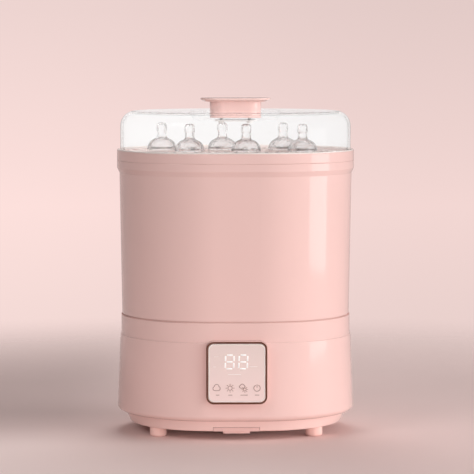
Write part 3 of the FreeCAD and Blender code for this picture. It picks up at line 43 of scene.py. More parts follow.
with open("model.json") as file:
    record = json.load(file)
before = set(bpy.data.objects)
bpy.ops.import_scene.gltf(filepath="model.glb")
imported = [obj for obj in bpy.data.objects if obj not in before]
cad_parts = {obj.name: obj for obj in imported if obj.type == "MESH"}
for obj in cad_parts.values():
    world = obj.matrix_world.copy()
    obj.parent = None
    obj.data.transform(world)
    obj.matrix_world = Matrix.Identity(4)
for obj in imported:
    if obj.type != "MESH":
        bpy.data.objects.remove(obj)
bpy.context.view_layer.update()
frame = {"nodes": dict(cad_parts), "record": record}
MM = 0.001
NODES = frame["nodes"]

# Colour of the even light from all round.
AMBIENT_COLOUR = (1.0, 0.985, 0.98)

# Plastics: noise features per metre, the depth of the grain and the gloss of the outer skin.
MOTTLE_SCALE = 14.0
GRAIN_SCALE = 900.0
GRAIN_DEPTH = 0.02 * MM
COAT_ROUGHNESS = 0.05

# Metals: noise features per metre, and how they are squeezed along each axis.
STREAK_SCALE = 160.0
DRAWN = (1.0, 1.0, 12.0)
EVEN = (1.0, 1.0, 1.0)

# Sides of the round beads, of the teats and of the floor.
BEAD_SIDES = 10
TEAT_SIDES = 40
FLOOR_SIDES = 64

# Profile of a teat: a share of the dome's, neck's or tip's radius, and a level in mm above the foot.
DOME = ((1.0, 1.8), (0.97, 2.5), (0.955, 4.0), (0.90, 6.6), (0.80, 9.4), (0.64, 11.8), (0.47, 13.3))
NECK = ((1.14, 14.6), (1.02, 16.6), (1.0, 19.6), (1.03, 22.6), (1.15, 24.6))
TIP = ((0.97, 26.9), (1.0, 28.6), (0.92, 30.5))
# The last of the tip, whose levels are in mm below the teat's top.
CROWN = ((0.66, 0.45), (0.34, 0.05), (0.0, 0.0))

# Touch panel, in mm across and up from the middle of the face: each mark's place and length.
LIT_MARKS = ((-23.8, 19.3, 5.3), (-25.7, 7.4, 3.0), (19.4, 7.6, 9.4), (-2.7, -1.5, 15.7))
DASHES = ((-22.3, -25.7, 4.1), (-7.6, -25.7, 4.8), (8.4, -25.7, 8.8), (23.6, -25.7, 5.3))
# The cloud, in mm from the middle of its symbol, clockwise from its lower left.
CLOUD = (
    (-3.9, -2.9), (-5.3, -1.0), (-4.6, 1.3), (-3.0, 1.9), (-2.6, 4.0), (0.2, 5.0),
    (2.9, 3.9), (3.2, 1.9), (4.9, 1.2), (5.2, -1.2), (3.8, -3.0), (0.0, -3.4),
)
# Middle of the sun behind the small cloud, in mm from the middle of its symbol.
SMALL_SUN = (1.5, -1.6)


# ---- settings
def colour(name, description, default):
    return FloatVectorProperty(
        name=name, description=description, default=default, subtype="COLOR", min=0, max=1
    )


def setting(name, description, default, subtype, **more):
    return FloatProperty(name=name, description=description, default=default, subtype=subtype, **more)


def length(name, description, millimetres):
    return setting(name, description, millimetres * MM, "DISTANCE", unit="LENGTH")


def angle(name, description, degrees):
    return setting(name, description, math.radians(degrees), "ANGLE")


def share(name, description, default):
    return setting(name, description, default, "FACTOR", min=0, max=1)


def power(name, description, watts):
    return setting(name, description, watts, "POWER", unit="POWER", min=0)


class StageSettings(bpy.types.PropertyGroup):
    camera_distance: length("Camera distance", "From the middle of the object to the camera", 3003)
    camera_height: length("Camera height", "Camera above the floor", 474.5)
    camera_side: length("Camera side", "Camera to the left of the middle", 37.8)
    camera_pitch: angle("Pitch", "How far the camera looks down", 4.611)
    camera_turn: angle("Turn", "How far the camera turns to the right", 0.756)
    camera_lens: setting("Lens", "Focal length", 189.66, "DISTANCE_CAMERA")
    floor: colour("Floor", "Colour of the floor", (0.84, 0.65, 0.62))
    floor_radius: length("Floor radius", "Where the floor has faded into the backdrop", 1250)
    floor_whole: length("Floor fade", "Where the floor begins to fade", 450)
    sky_low: colour("Backdrop low", "Backdrop beside the floor", (0.87, 0.68, 0.65))
    sky_middle: colour("Backdrop middle", "Backdrop at its palest", (0.96, 0.73, 0.70))
    sky_high: colour("Backdrop high", "Backdrop behind the lid and above", (0.83, 0.645, 0.62))
    sky_clear: colour("Backdrop, clear", "Backdrop as the clear pieces show it", (1.0, 0.985, 0.98))
    ambient: share("Ambient", "Even light from all round", 0.04)
    key: power("Key lamp", "Softbox in front, to the right", 2.8)
    fill: power("Fill lamp", "Softbox in front, to the left", 9.8)
    side: power("Side lamp", "Softbox at the right, seen as the tall highlight", 3.0)
    side_wide: power("Wide side lamp", "Large softbox at the right", 21.5)
    low: power("Low lamps", "Two softboxes low in front, in the middle and to the right", 24)
    rear: power("Rear lamp", "Softbox behind and above", 9)
    back: power("Back lamp", "Softbox behind, for the back of the casings", 6)
    lid: power("Lid lamp", "Small softbox behind and above the lid", 2)


class PlasticSettings(bpy.types.PropertyGroup):
    pink: colour("Pink", "Moulded casings", (0.90, 0.61, 0.565))
    rubber: colour("Rubber", "Feet", (0.95, 0.63, 0.57))
    lining: colour("Lining", "Inside of the upper tray's rim", (0.97, 0.92, 0.89))
    white: colour("White", "Deck, tower and rack", (0.86, 0.85, 0.83))
    black: colour("Black", "Fan, duct and socket", (0.03, 0.03, 0.032))
    gloss: share("Roughness", "Roughness under the casings' gloss", 0.42)
    grain: share("Grain", "Depth of the fine moulded grain", 0.15)


class ClearSettings(bpy.types.PropertyGroup):
    lid: colour("Lid", "Clear plastic seen square on", (0.99, 0.99, 0.99))
    # The dark edges of the clear plastic are painted refraction lines.
    lid_edge: colour("Lid edge", "Clear plastic seen along its wall", (0.20, 0.25, 0.24))
    lid_haze: share("Lid body", "How much the clear plastic bends and reflects, square on", 0.65)
    seal: colour("Seals", "Tinted silicone of the seals", (0.80, 0.56, 0.52))
    silicone: colour("Silicone", "Silicone seen square on", (1.0, 1.0, 1.0))
    # The dark edges of the silicone are painted refraction lines.
    silicone_edge: colour("Silicone edge", "Silicone seen along its wall", (0.05, 0.048, 0.048))
    silicone_haze: share("Silicone body", "How much the silicone bends and reflects, square on", 0.8)


class TeatSettings(bpy.types.PropertyGroup):
    wall: length("Wall", "Silicone of a teat", 1.6)
    neck: length("Neck", "Radius of the neck", 5.5)
    bulb: length("Bulb", "Radius of the soft tip", 6.1)


class LineSettings(bpy.types.PropertyGroup):
    # A pale bead on the tray's top edge, as a painted highlight.
    painted_lip_highlight: colour("Tray lip", "Pale lip round the upper tray", (0.98, 0.90, 0.85))
    lip_highlight_radius: length("Lip radius", "Radius of the tray's lip", 0.9)
    # A dark bead where the pan meets the housing: painted shade in the joint.
    painted_joint_shade: colour("Joint line", "Line where the pan meets the housing", (0.60, 0.345, 0.305))
    # A darker pink bead in the gap under the chamber: painted shade.
    seam: colour("Seam", "Line under the chamber", (0.82, 0.51, 0.46))
    joint_radius: length("Joint radius", "Radius of the joint lines", 0.5)
    seam_reach: length("Seam reach", "End radius of the line under the chamber", 108.6)


class PanelSettings(bpy.types.PropertyGroup):
    face_high: colour("Face, upper", "Upper part of the face", (0.88, 0.72, 0.675))
    face_low: colour("Face, lower", "Lower part of the face", (0.97, 0.755, 0.72))
    # Pale frame round the face: a painted highlight.
    bevel: colour("Bevel", "Ground edge of the face", (1.0, 0.93, 0.86))
    trim: colour("Trim", "Metal trim round the face", (0.22, 0.11, 0.075))
    glow: colour("Digits", "Lit digits and marks", (1.0, 0.97, 0.95))
    ink: colour("Symbols", "Printed symbols", (0.33, 0.20, 0.17))
    digit_height: length("Digit height", "From the lowest bar's middle to the highest", 16.0)
    digit_width: length("Digit width", "Between the upright bars' middles", 9.8)
    digit_pitch: length("Digit pitch", "From digit to digit", 15.8)
    digit_stroke: length("Digit stroke", "Width of a bar", 1.9)
    digit_lean: angle("Digit lean", "How far the digits lean to the right", 2.5)
    icon_stroke: length("Symbol stroke", "Width of the symbols' lines", 0.72)
    rays: IntProperty(name="Rays", description="Rays of the sun symbol", default=8, min=4, max=16)


class MetalSettings(bpy.types.PropertyGroup):
    steel: colour("Steel", "Screws, blades, shaft and heater tube", (0.55, 0.55, 0.55))
    # Pale handle screws: painted light in the shade under the handle's backing.
    painted_light_screw: colour("Coated screws", "White-coated screws of the handle", (0.86, 0.85, 0.83))
    coating: colour("Coating", "Non-stick heating plate", (0.10, 0.10, 0.105))
    magnet: colour("Magnet", "Sintered magnet and transformer core", (0.06, 0.055, 0.05))
    bronze: colour("Bronze", "Motor bushes", (0.45, 0.27, 0.09))


SETTINGS = {
    "stage": StageSettings,
    "plastic": PlasticSettings,
    "clear": ClearSettings,
    "teat": TeatSettings,
    "line": LineSettings,
    "panel": PanelSettings,
    "metal": MetalSettings,
}


def settings(context, group):
    return getattr(context.scene, "steriliser_" + group)


# ---- shader building
class Signal:
    """A shader socket that Python arithmetic can be written on."""

    def __init__(self, tree, socket):
        self.tree = tree
        self.socket = socket

    def maths(self, operation, first, second):
        return self.tree.node("ShaderNodeMath", {"operation": operation}, {0: first, 1: second})

    def __add__(self, other):
        return self.maths("ADD", self, other)

    def __sub__(self, other):
        return self.maths("SUBTRACT", self, other)

    def __rsub__(self, other):
        return self.maths("SUBTRACT", other, self)

    def __mul__(self, other):
        return self.maths("MULTIPLY", self, other)

    __radd__ = __add__
    __rmul__ = __mul__

    def clamped(self):
        return self.tree.node("ShaderNodeClamp", {}, {0: self})

    def out(self, name):
        """Another output of the node that this socket is on."""
        return Signal(self.tree, self.socket.node.outputs[name])


class Nodes:
    """The shader nodes of a material or a world."""

    def __init__(self, owner):
        owner.use_nodes = True
        self.tree = owner.node_tree

    def node(self, kind, options=None, values=None):
        """Add a node, its settings first, then its sockets' values or links. Gives its first output."""
        node = self.tree.nodes.new(kind)
        for name, option in (options or {}).items():
            if name == "stops":
                self.set_stops(node.color_ramp, option)
            else:
                setattr(node, name, option)
        for name, value in (values or {}).items():
            self.feed(node.inputs[name], value)
        return Signal(self, node.outputs[0])

    def set_stops(self, ramp, stops):
        for number, (place, rgb) in enumerate(stops):
            stop = ramp.elements[number] if number < len(ramp.elements) else ramp.elements.new(place)
            stop.position = place
            stop.color = (*rgb, 1.0)

    def feed(self, socket, value):
        if isinstance(value, Signal):
            self.tree.links.new(value.socket, socket)
        elif socket.type == "RGBA" and len(value) == 3:
            socket.default_value = (*value, 1.0)
        else:
            socket.default_value = value

    def place(self):
        return self.node("ShaderNodeTexCoord").out("Object")

    def along(self, axis, vector=None):
        vector = vector or self.place()
        return self.node("ShaderNodeSeparateXYZ", {}, {0: vector}).out(axis)

    def noise(self, scale, detail=2.0, stretch=None):
        """Soft noise, squeezed along each axis where a stretch is given."""
        where = self.place()
        if stretch:
            where = self.node("ShaderNodeMapping", {}, {"Vector": where, "Scale": stretch})
        values = {"Vector": where, "Scale": scale, "Detail": detail}
        return self.node("ShaderNodeTexNoise", {}, values).out("Fac")

    def facing(self, blend):
        return self.node("ShaderNodeLayerWeight", {}, {"Blend": blend}).out("Facing")

    def blend(self, amount, first, second):
        """A colour between two colours."""
        return self.node("ShaderNodeMix", {"data_type": "RGBA"}, {0: amount, 6: first, 7: second}).out(2)

    def step(self, value, low, high):
        """0 below one value, 1 above another, smooth between them."""
        values = {"Value": value, "From Min": low, "From Max": high}
        return self.node("ShaderNodeMapRange", {"interpolation_type": "SMOOTHSTEP"}, values)

    def within(self, value, start, full, fading, gone):
        """1 from full to fading, 0 before start and after gone, smooth between them."""
        return self.step(value, start, full) * (1.0 - self.step(value, fading, gone))

    def vector(self, operation, first, second=(0, 0, 0), output="Vector"):
        values = {0: first, 1: second}
        return self.node("ShaderNodeVectorMath", {"operation": operation}, values).out(output)

    def show(self, output, amount, first, second):
        """Send a mix of two shaders to the tree's output node."""
        mixed = self.node("ShaderNodeMixShader", {}, {0: amount, 1: first, 2: second})
        self.feed(self.tree.nodes[output].inputs[0], mixed)


class Finish(Nodes):
    """One material, built up from a principled shader."""

    def __init__(self, name):
        self.material = bpy.data.materials.new(name)
        super().__init__(self.material)
        self.shader = self.tree.nodes["Principled BSDF"]

    def set(self, **sockets):
        """Set sockets of the principled shader, named with underscores for spaces."""
        for name, value in sockets.items():
            self.feed(self.shader.inputs[name.replace("_", " ")], value)
        return self

    def bump(self, height, strength, distance):
        values = {"Height": height, "Strength": strength, "Distance": distance}
        return self.set(Normal=self.node("ShaderNodeBump", {}, values))


def shade(rgb, factor):
    """The same colour, lighter or darker."""
    return tuple(min(channel * factor, 1.0) for channel in rgb)


def skin(finish, rgb, roughness, coat, grain):
    """The faint mottling, slightly uneven gloss and fine grain of moulded plastic. Gives its colour."""
    mottle = finish.noise(MOTTLE_SCALE, 3.0)
    mottled = finish.blend(mottle, shade(rgb, 0.985), shade(rgb, 1.015))
    finish.set(Base_Color=mottled, Roughness=mottle * 0.04 + (roughness - 0.02))
    finish.set(Coat_Weight=coat, Coat_Roughness=COAT_ROUGHNESS)
    finish.bump(finish.noise(GRAIN_SCALE), grain, GRAIN_DEPTH)
    return mottled


def moulded(name, rgb, roughness, coat=0.0, grain=0.15):
    finish = Finish(name)
    skin(finish, rgb, roughness, coat, grain)
    return finish.material


def metal(name, rgb, roughness, stretch=DRAWN):
    """Bare metal with streaks in its colour and gloss, drawn out or even."""
    finish = Finish(name)
    streak = finish.noise(STREAK_SCALE, 3.0, stretch)
    finish.set(Base_Color=finish.blend(streak, shade(rgb, 0.86), shade(rgb, 1.14)), Metallic=1.0)
    finish.set(Roughness=streak * 0.16 + (roughness - 0.08))
    finish.bump(streak, 0.2, GRAIN_DEPTH)
    return finish.material


def assign(item, material):
    item.data.materials.clear()
    item.data.materials.append(material)


def assign_slot(slot, material):
    """Give a finish to every built piece of one slot."""
    for entry in frame["record"]["subparts"]:
        if entry["material_slot"] == slot:
            assign(NODES[entry["node"]], material)


# ---- mesh building
def add(name, data):
    """A new object in the scene."""
    item = bpy.data.objects.new(name, data)
    bpy.context.scene.collection.objects.link(item)
    return item


def new_piece(name, points, faces, edges=()):
    mesh = bpy.data.meshes.new(name)
    mesh.from_pydata(points, edges, faces)
    mesh.validate()
    mesh.shade_smooth()
    return add(name, mesh)


def plain_copy(item, name):
    """The evaluated shape of an object as a plain mesh object, in place of it."""
    mesh = bpy.data.meshes.new_from_object(item.evaluated_get(bpy.context.evaluated_depsgraph_get()))
    mesh.name = name
    bpy.data.objects.remove(item)
    return add(name, mesh)


def eased(before, start, end, after, t):
    """A value a share t of the way from start to end, on a smooth line through all four."""
    slope, bend = end - before, 2 * before - 5 * start + 4 * end - after
    twist = 3 * start - before - 3 * end + after
    return 0.5 * (2 * start + slope * t + bend * t * t + twist * t ** 3)


def flowing(points, steps):
    """A smooth line through some points, with a few steps between each two."""
    line = []
    for number in range(len(points) - 1):
        before = points[max(number - 1, 0)]
        start, end = points[number], points[number + 1]
        after = points[min(number + 2, len(points) - 1)]
        for step in range(steps):
            line.append(tuple(eased(*values, step / steps) for values in zip(before, start, end, after)))
    return line + [points[-1]]


def ring(radius, level, sides):
    """Points of a level circle about Z."""
    turns = [2 * math.pi * side / sides for side in range(sides)]
    return [(radius * math.cos(turn), radius * math.sin(turn), level) for turn in turns]


def turned(name, profile, sides):
    """A closed solid turned about Z from a profile whose first and last points are on the axis."""
    points, rings = [], []
    for radius, level in profile:
        row = ring(radius, level, sides) if radius else [(0, 0, level)]
        rings.append(range(len(points), len(points) + len(row)))
        points += row
    faces = []
    for low, high in zip(rings, rings[1:]):
        for side in range(sides):
            after = (side + 1) % sides
            places = ((low, side), (low, after), (high, after), (high, side))
            corners = [row[place % len(row)] for row, place in places]
            faces.append(list(dict.fromkeys(corners)))
    return new_piece(name, points, faces)


def oblong(half, radius, level, turns=32):
    """A closed path round two ends of one radius, joined by straight sides along X."""
    points = []
    for end, start in ((1, -90), (-1, 90)):
        for step in range(turns + 1):
            around = math.radians(start + 180 * step / turns)
            points.append((end * half + radius * math.cos(around), radius * math.sin(around), level))
    return points


def band(low, high, count):
    """Faces between two rings of points, whose numbers begin at low and at high."""
    steps = [(step, (step + 1) % count) for step in range(count)]
    return [[low + step, low + after, high + after, high + step] for step, after in steps]


def bar(name, span, width, thickness):
    """A bar with round ends along X, standing up from Z = 0 with a softened top edge."""
    half, radius, soft, turns = span / 2 - width / 2, width / 2, thickness * 0.45, 6
    levels = ((radius, 0.0), (radius, thickness - soft), (radius - soft, thickness))
    points = [point for reach, level in levels for point in oblong(half, reach, level, turns)]
    count = 2 * (turns + 1)
    faces = [list(range(count))[::-1], list(range(2 * count, 3 * count))]
    faces += band(0, count, count) + band(count, 2 * count, count)
    return new_piece(name, points, faces)


class GeometryTree:
    """A geometry node tree with named inputs, which ends in one plain mesh with one material."""

    def __init__(self, name, inputs):
        self.tree = bpy.data.node_groups.new(name, "GeometryNodeTree")
        ends = self.tree.interface
        ends.new_socket("Geometry", in_out="INPUT", socket_type="NodeSocketGeometry")
        ends.new_socket("Geometry", in_out="OUTPUT", socket_type="NodeSocketGeometry")
        for label, kind in {**inputs, "Material": "NodeSocketMaterial"}.items():
            ends.new_socket(label, in_out="INPUT", socket_type=kind)
        self.start = self.tree.nodes.new("NodeGroupInput")

    def node(self, kind, options=None, values=None, output=0):
        """Add a node, its settings first, then its sockets' values or links. Gives one output."""
        node = self.tree.nodes.new(kind)
        for name, option in (options or {}).items():
            setattr(node, name, option)
        for name, value in (values or {}).items():
            if isinstance(value, bpy.types.NodeSocket):
                self.tree.links.new(value, node.inputs[name])
            else:
                node.inputs[name].default_value = value
        return node.outputs[output] if node.outputs else None

    def given(self, label):
        return self.start.outputs[label]

    def maths(self, operation, first, second):
        return self.node("ShaderNodeMath", {"operation": operation}, {0: first, 1: second})

    def copies(self, points, piece, turn, **more):
        """A copy of a piece on each point, turned by three angles."""
        rotation = self.node("FunctionNodeEulerToRotation", {}, {0: turn})
        values = {"Points": points, "Instance": piece, "Rotation": rotation, **more}
        return self.node("GeometryNodeInstanceOnPoints", {}, values)

    def finish(self, geometry):
        plain = self.node("GeometryNodeRealizeInstances", {}, {"Geometry": geometry})
        values = {"Geometry": plain, "Material": self.given("Material")}
        painted = self.node("GeometryNodeSetMaterial", {}, values)
        self.node("NodeGroupOutput", {}, {"Geometry": painted})

    def make(self, name, points, values):
        """Run the tree on some points and keep the result as a plain mesh object."""
        modifier = points.modifiers.new("rule", "NODES")
        modifier.node_group = self.tree
        for socket in self.tree.interface.items_tree:
            if socket.in_out == "INPUT" and socket.name in values:
                modifier[socket.identifier] = values[socket.name]
        result = plain_copy(points, name)
        assign(result, values["Material"])
        bpy.data.node_groups.remove(self.tree)
        return result


def scatter(name, template, places, material):
    """Copies of one template, each at its own place, turn and size."""
    tree = GeometryTree(name + "_rule", {"Piece": "NodeSocketObject", "Size": "NodeSocketFloat"})
    marks = new_piece(name + "_marks", [place for place, turn, size in places], [])
    for label, column in (("turn", 1), ("size", 2)):
        attribute = marks.data.attributes.new(label, "FLOAT_VECTOR", "POINT")
        for number, entry in enumerate(places):
            attribute.data[number].vector = entry[column]
    read = {"data_type": "FLOAT_VECTOR"}
    turn = tree.node("GeometryNodeInputNamedAttribute", read, {"Name": "turn"})
    size = tree.node("GeometryNodeInputNamedAttribute", read, {"Name": "size"})
    values = {0: size, "Scale": tree.given("Size")}
    sized = tree.node("ShaderNodeVectorMath", {"operation": "SCALE"}, values)
    piece = tree.node("GeometryNodeObjectInfo", {}, {"Object": tree.given("Piece")}, "Geometry")
    tree.finish(tree.copies(tree.given("Geometry"), piece, turn, Scale=sized))
    result = tree.make(name, marks, {"Piece": template, "Size": 1.0, "Material": material})
    bpy.data.objects.remove(template)
    return result


def ray_ring(name, count, inner, outer, width, material):
    """Short rays in a ring about Z, each a thin box that points outwards."""
    sizes = ("Inner", "Outer", "Width")
    kinds = {"Count": "NodeSocketInt", **{label: "NodeSocketFloat" for label in sizes}}
    tree = GeometryTree(name + "_rule", kinds)
    start, end, across = [tree.given(label) for label in sizes]
    middle = tree.maths("MULTIPLY", tree.maths("ADD", start, end), 0.5)
    reach = tree.maths("SUBTRACT", end, start)
    size = tree.node("ShaderNodeCombineXYZ", {}, {0: reach, 1: across, 2: across})
    ray = tree.node("GeometryNodeMeshCube", {}, {"Size": size})
    circle = tree.node("GeometryNodeMeshCircle", {}, {"Vertices": tree.given("Count"), "Radius": middle})
    index = tree.node("GeometryNodeInputIndex")
    around = tree.maths("DIVIDE", tree.maths("MULTIPLY", index, 2 * math.pi), tree.given("Count"))
    turn = tree.node("ShaderNodeCombineXYZ", {}, {2: around})
    tree.finish(tree.copies(circle, ray, turn))
    holder = new_piece(name + "_marks", [(0, 0, 0)], [])
    values = {"Count": count, "Inner": inner, "Outer": outer, "Width": width, "Material": material}
    return tree.make(name, holder, values)


def bead(name, path, radius, material):
    """A round bead that follows a closed path."""
    tree = GeometryTree(name + "_rule", {"Radius": "NodeSocketFloat"})
    line = tree.node("GeometryNodeMeshToCurve", {}, {"Mesh": tree.given("Geometry")})
    values = {"Resolution": BEAD_SIDES, "Radius": tree.given("Radius")}
    section = tree.node("GeometryNodeCurvePrimitiveCircle", {}, values)
    values = {"Curve": line, "Profile Curve": section}
    tree.finish(tree.node("GeometryNodeCurveToMesh", {}, values))
    edges = [(number, (number + 1) % len(path)) for number in range(len(path))]
    marks = new_piece(name + "_path", path, [], edges)
    result = tree.make(name, marks, {"Radius": radius, "Material": material})
    result.data.shade_smooth()
    return result


def settle(item, body, slot, *replaced):
    """Fix a finished piece to a body and hide the parts it replaces. The slot is not used."""
    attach(item, body)
    if replaced:
        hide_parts(*replaced)


# ---- casings
class FinishCasings(bpy.types.Operator):
    """Glossy pink casings, rubber feet and the white and black plastics"""

    bl_idname = "steriliser.finish_casings"
    bl_label = "Finish casings"

    def execute(self, context):
        plastic = settings(context, "plastic")
        grain = plastic.grain
        assign_slot("pink_gloss", moulded("pink_gloss", plastic.pink, plastic.gloss, 1.0, grain))
        # A lighter copy of the pink for the pan and the handle plate: painted light where the lamps
        # reach them too little.
        painted_shading = moulded("pink_painted_light", shade(plastic.pink, 1.16), plastic.gloss + 0.06, 0.8, grain)
        for name in ("bottom_pan", "handle_plate"):
            assign(NODES[name], painted_shading)
        assign(NODES["tray_rim"], self.lined(plastic))
        assign_slot("pink_rubber", self.rubber(plastic.rubber))
        assign_slot("white_plastic", moulded("white_plastic", plastic.white, 0.38, 0.2, grain))
        assign_slot("black_plastic", moulded("black_plastic", plastic.black, 0.48, 0.0, 0.4))
        return {"FINISHED"}

    def lined(self, plastic):
        """The upper tray's rim: glossy outside, with a pale lining inside and a painted highlight along
        its top.
        """
        finish = Finish("pink_lined")
        pink = skin(finish, plastic.pink, plastic.gloss, 1.0, plastic.grain)
        normal = finish.node("ShaderNodeNewGeometry").out("Normal")
        # The inner wall faces the middle of the rim, so its normal and its place point apart.
        flat = finish.vector("MULTIPLY", finish.place(), (1, 1, 0))
        outward = finish.vector("DOT_PRODUCT", normal, flat, "Value")
        inside = 1.0 - finish.step(outward, -90 * MM, -30 * MM)
        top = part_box("tray_rim")[1].z
        level, high = finish.along("Z", normal), finish.along("Z")
        # The top faces take the lining's colour as a painted highlight.
        painted_highlight_top = finish.step(level, 0.6, 0.9) * finish.step(high, top - 3 * MM, top - MM)
        finish.set(Base_Color=finish.blend((inside + painted_highlight_top).clamped(), pink, plastic.lining))
        return finish.material

    def rubber(self, rgb):
        """Soft rubber: matt, with a painted sheen where it is seen along its side and a patchy paler
        bloom.
        """
        finish = Finish("pink_rubber")
        # Paler where seen along the side: a painted sheen. The noise adds a patchy bloom.
        bloom_and_painted_sheen = finish.facing(0.3) * 0.25 + finish.noise(60.0) * 0.12
        finish.set(Base_Color=finish.blend(bloom_and_painted_sheen.clamped(), rgb, shade(rgb, 1.15)), Roughness=0.62)
        return finish.bump(finish.noise(1400.0), 0.5, 0.03 * MM).material


# ---- clear pieces
class FinishClear(bpy.types.Operator):
    """Clear lid and tray, and silicone for the teats and seals"""

    bl_idname = "steriliser.finish_clear"
    bl_label = "Finish clear pieces"

    def execute(self, context):
        clear = settings(context, "clear")
        finish = Finish("clear_plastic")
        along = finish.facing(0.5)
        surface = finish.node("ShaderNodeNewGeometry")
        level = finish.along("Z", surface.out("Normal"))
        upright = 1.0 - level * level
        # Painted dark refraction lines at the edges, where the far wall is seen from inside, and hardly
        # on the near wall.
        far_wall = surface.out("Backfacing") * 0.85 + 0.15
        # A thin painted dark refraction line where the wall has nearly turned into the top.
        painted_crease_line = finish.within(level, 0.945, 0.96, 0.98, 0.993)
        painted_edge_lines = finish.step(along, 0.75, 0.96) * far_wall * upright + painted_crease_line * 0.8
        finish.set(
            Base_Color=finish.blend(painted_edge_lines, clear.lid, clear.lid_edge),
            Alpha=(painted_edge_lines * 0.3 + clear.lid_haze).clamped(),
            Roughness=finish.noise(9.0) * 0.01,
            Transmission_Weight=1.0,
            IOR=1.003,
            Coat_Weight=upright * 0.36 + 0.04,
            Coat_Roughness=0.03,
        )
        assign_slot("clear_plastic", finish.material)
        for name in ("lid_shell", "tray_grid"):
            NODES[name].visible_shadow = False
        assign_slot("silicone", silicone(clear))
        seal = moulded("seal_silicone", clear.seal, 0.5)
        for name in ("chamber_seal", "plate_gasket", "tower_seal", "handle_seal"):
            assign(NODES[name], seal)
        return {"FINISHED"}


def silicone(clear):
    """Soft clear silicone, with painted dark refraction lines along its walls and a broken ring of
    painted shade and refraction above the flange.
    """
    finish = Finish("silicone")
    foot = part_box("teat_1")[0].z
    levels = [foot + level * MM for level in (0.9, 1.8, 2.8, 3.9)]
    # A broken dark ring above the flange: painted shade and refraction.
    painted_flange_shade = finish.within(finish.along("Z"), *levels)
    broken = finish.step(finish.noise(90.0), 0.36, 0.56)
    painted_edge_lines = (finish.step(finish.facing(0.5), 0.57, 0.89) + painted_flange_shade * broken * 0.7).clamped()
    finish.set(
        Base_Color=finish.blend(painted_edge_lines, clear.silicone, clear.silicone_edge),
        Alpha=(painted_edge_lines * 0.2 + clear.silicone_haze).clamped(),
        Roughness=finish.noise(40.0) * 0.02 + 0.01,
        Transmission_Weight=1.0,
        IOR=1.25,
        Coat_Weight=0.5,
    )
    return finish.bump(finish.noise(190.0, 1.0), 0.8, 1.8 * MM).material


# ---- teats
class BuildTeats(bpy.types.Operator):
    """Six soft teats on the upper tray"""

    bl_idname = "steriliser.build_teats"
    bl_label = "Teats"

    def execute(self, context):
        teat = settings(context, "teat")
        names = sorted(name for name in NODES if name.startswith("teat_"))
        low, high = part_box(names[0])
        radius, height = (high.x - low.x) / 2, high.z - low.z
        rows = ((radius, DOME), (teat.neck, NECK), (teat.bulb, TIP))
        outline = [(reach * part, level * MM) for reach, row in rows for part, level in row]
        outline += [(teat.bulb * part, height - below * MM) for part, below in CROWN]
        outer = flowing(outline, 3)
        # The hollow follows the dome and neck, from above the flange to below the crown.
        inner = [(max(r - teat.wall, 0.0), max(z - teat.wall * 0.6, 0.0)) for r, z in outer[3:-4]]
        foot = [(radius - teat.wall * 1.6, 0.0), (radius - 0.3 * MM, 0.0), (radius, 0.4 * MM)]
        profile = [(0.0, height - 1.6 * teat.wall)] + inner[::-1] + foot + outer
        template = turned("teat_template", profile, TEAT_SIDES)
        places = []
        for low, high in map(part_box, names):
            middle = (low + high) / 2
            places.append(((middle.x, middle.y, low.z), (0, 0, 0), (1, 1, 1)))
        item = scatter("teats", template, places, NODES[names[0]].data.materials[0])
        item.visible_shadow = False
        settle(item, "upper_tray", "silicone", *names)
        return {"FINISHED"}


# ---- painted lip highlight and painted shade at the joints
class BuildBeads(bpy.types.Operator):
    """Painted highlight along the upper tray's lip and fine lines of painted shade where the casings
    meet
    """

    bl_idname = "steriliser.build_beads"
    bl_label = "Lips and joint lines"

    def execute(self, context):
        line = settings(context, "line")
        half, radius = self.outline("tray_rim")
        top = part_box("tray_rim")[1].z
        path = oblong(half, radius - line.lip_highlight_radius - 0.3 * MM, top - 0.1 * MM)
        # A pale bead along the rim's top edge: a painted highlight.
        painted_lip_highlight = moulded("tray_lip", line.painted_lip_highlight, 0.3, 1.0, 0.05)
        settle(bead("tray_lip", path, line.lip_highlight_radius, painted_lip_highlight), "upper_tray", "pink_gloss")

        housing_low, housing_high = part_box("base_housing")
        half = self.outline("chamber_wall")[0]
        path = oblong(half, line.seam_reach, (housing_high.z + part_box("chamber_wall")[0].z) / 2)
        # A darker pink bead in the gap under the chamber: painted shade.
        seam = moulded("painted_seam_shade_line", line.seam, 0.5)
        settle(bead("chamber_seam_line", path, line.joint_radius, seam), "base", "pink_gloss")

        half, radius = self.outline("bottom_pan")
        path = oblong(half, radius + line.joint_radius * 0.5, housing_low.z - line.joint_radius * 0.6)
        # A dark bead where the pan meets the housing: painted shade in the joint.
        painted_joint_shade = moulded("painted_joint_shade_line", line.painted_joint_shade, 0.5)
        settle(bead("pan_joint_line", path, line.joint_radius, painted_joint_shade), "base", "pink_gloss")
        return {"FINISHED"}

    def outline(self, node):
        """Half the straight side and the end radius of an oblong piece."""
        low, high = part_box(node)
        radius = (high.y - low.y) / 2
        return (high.x - low.x) / 2 - radius, radius


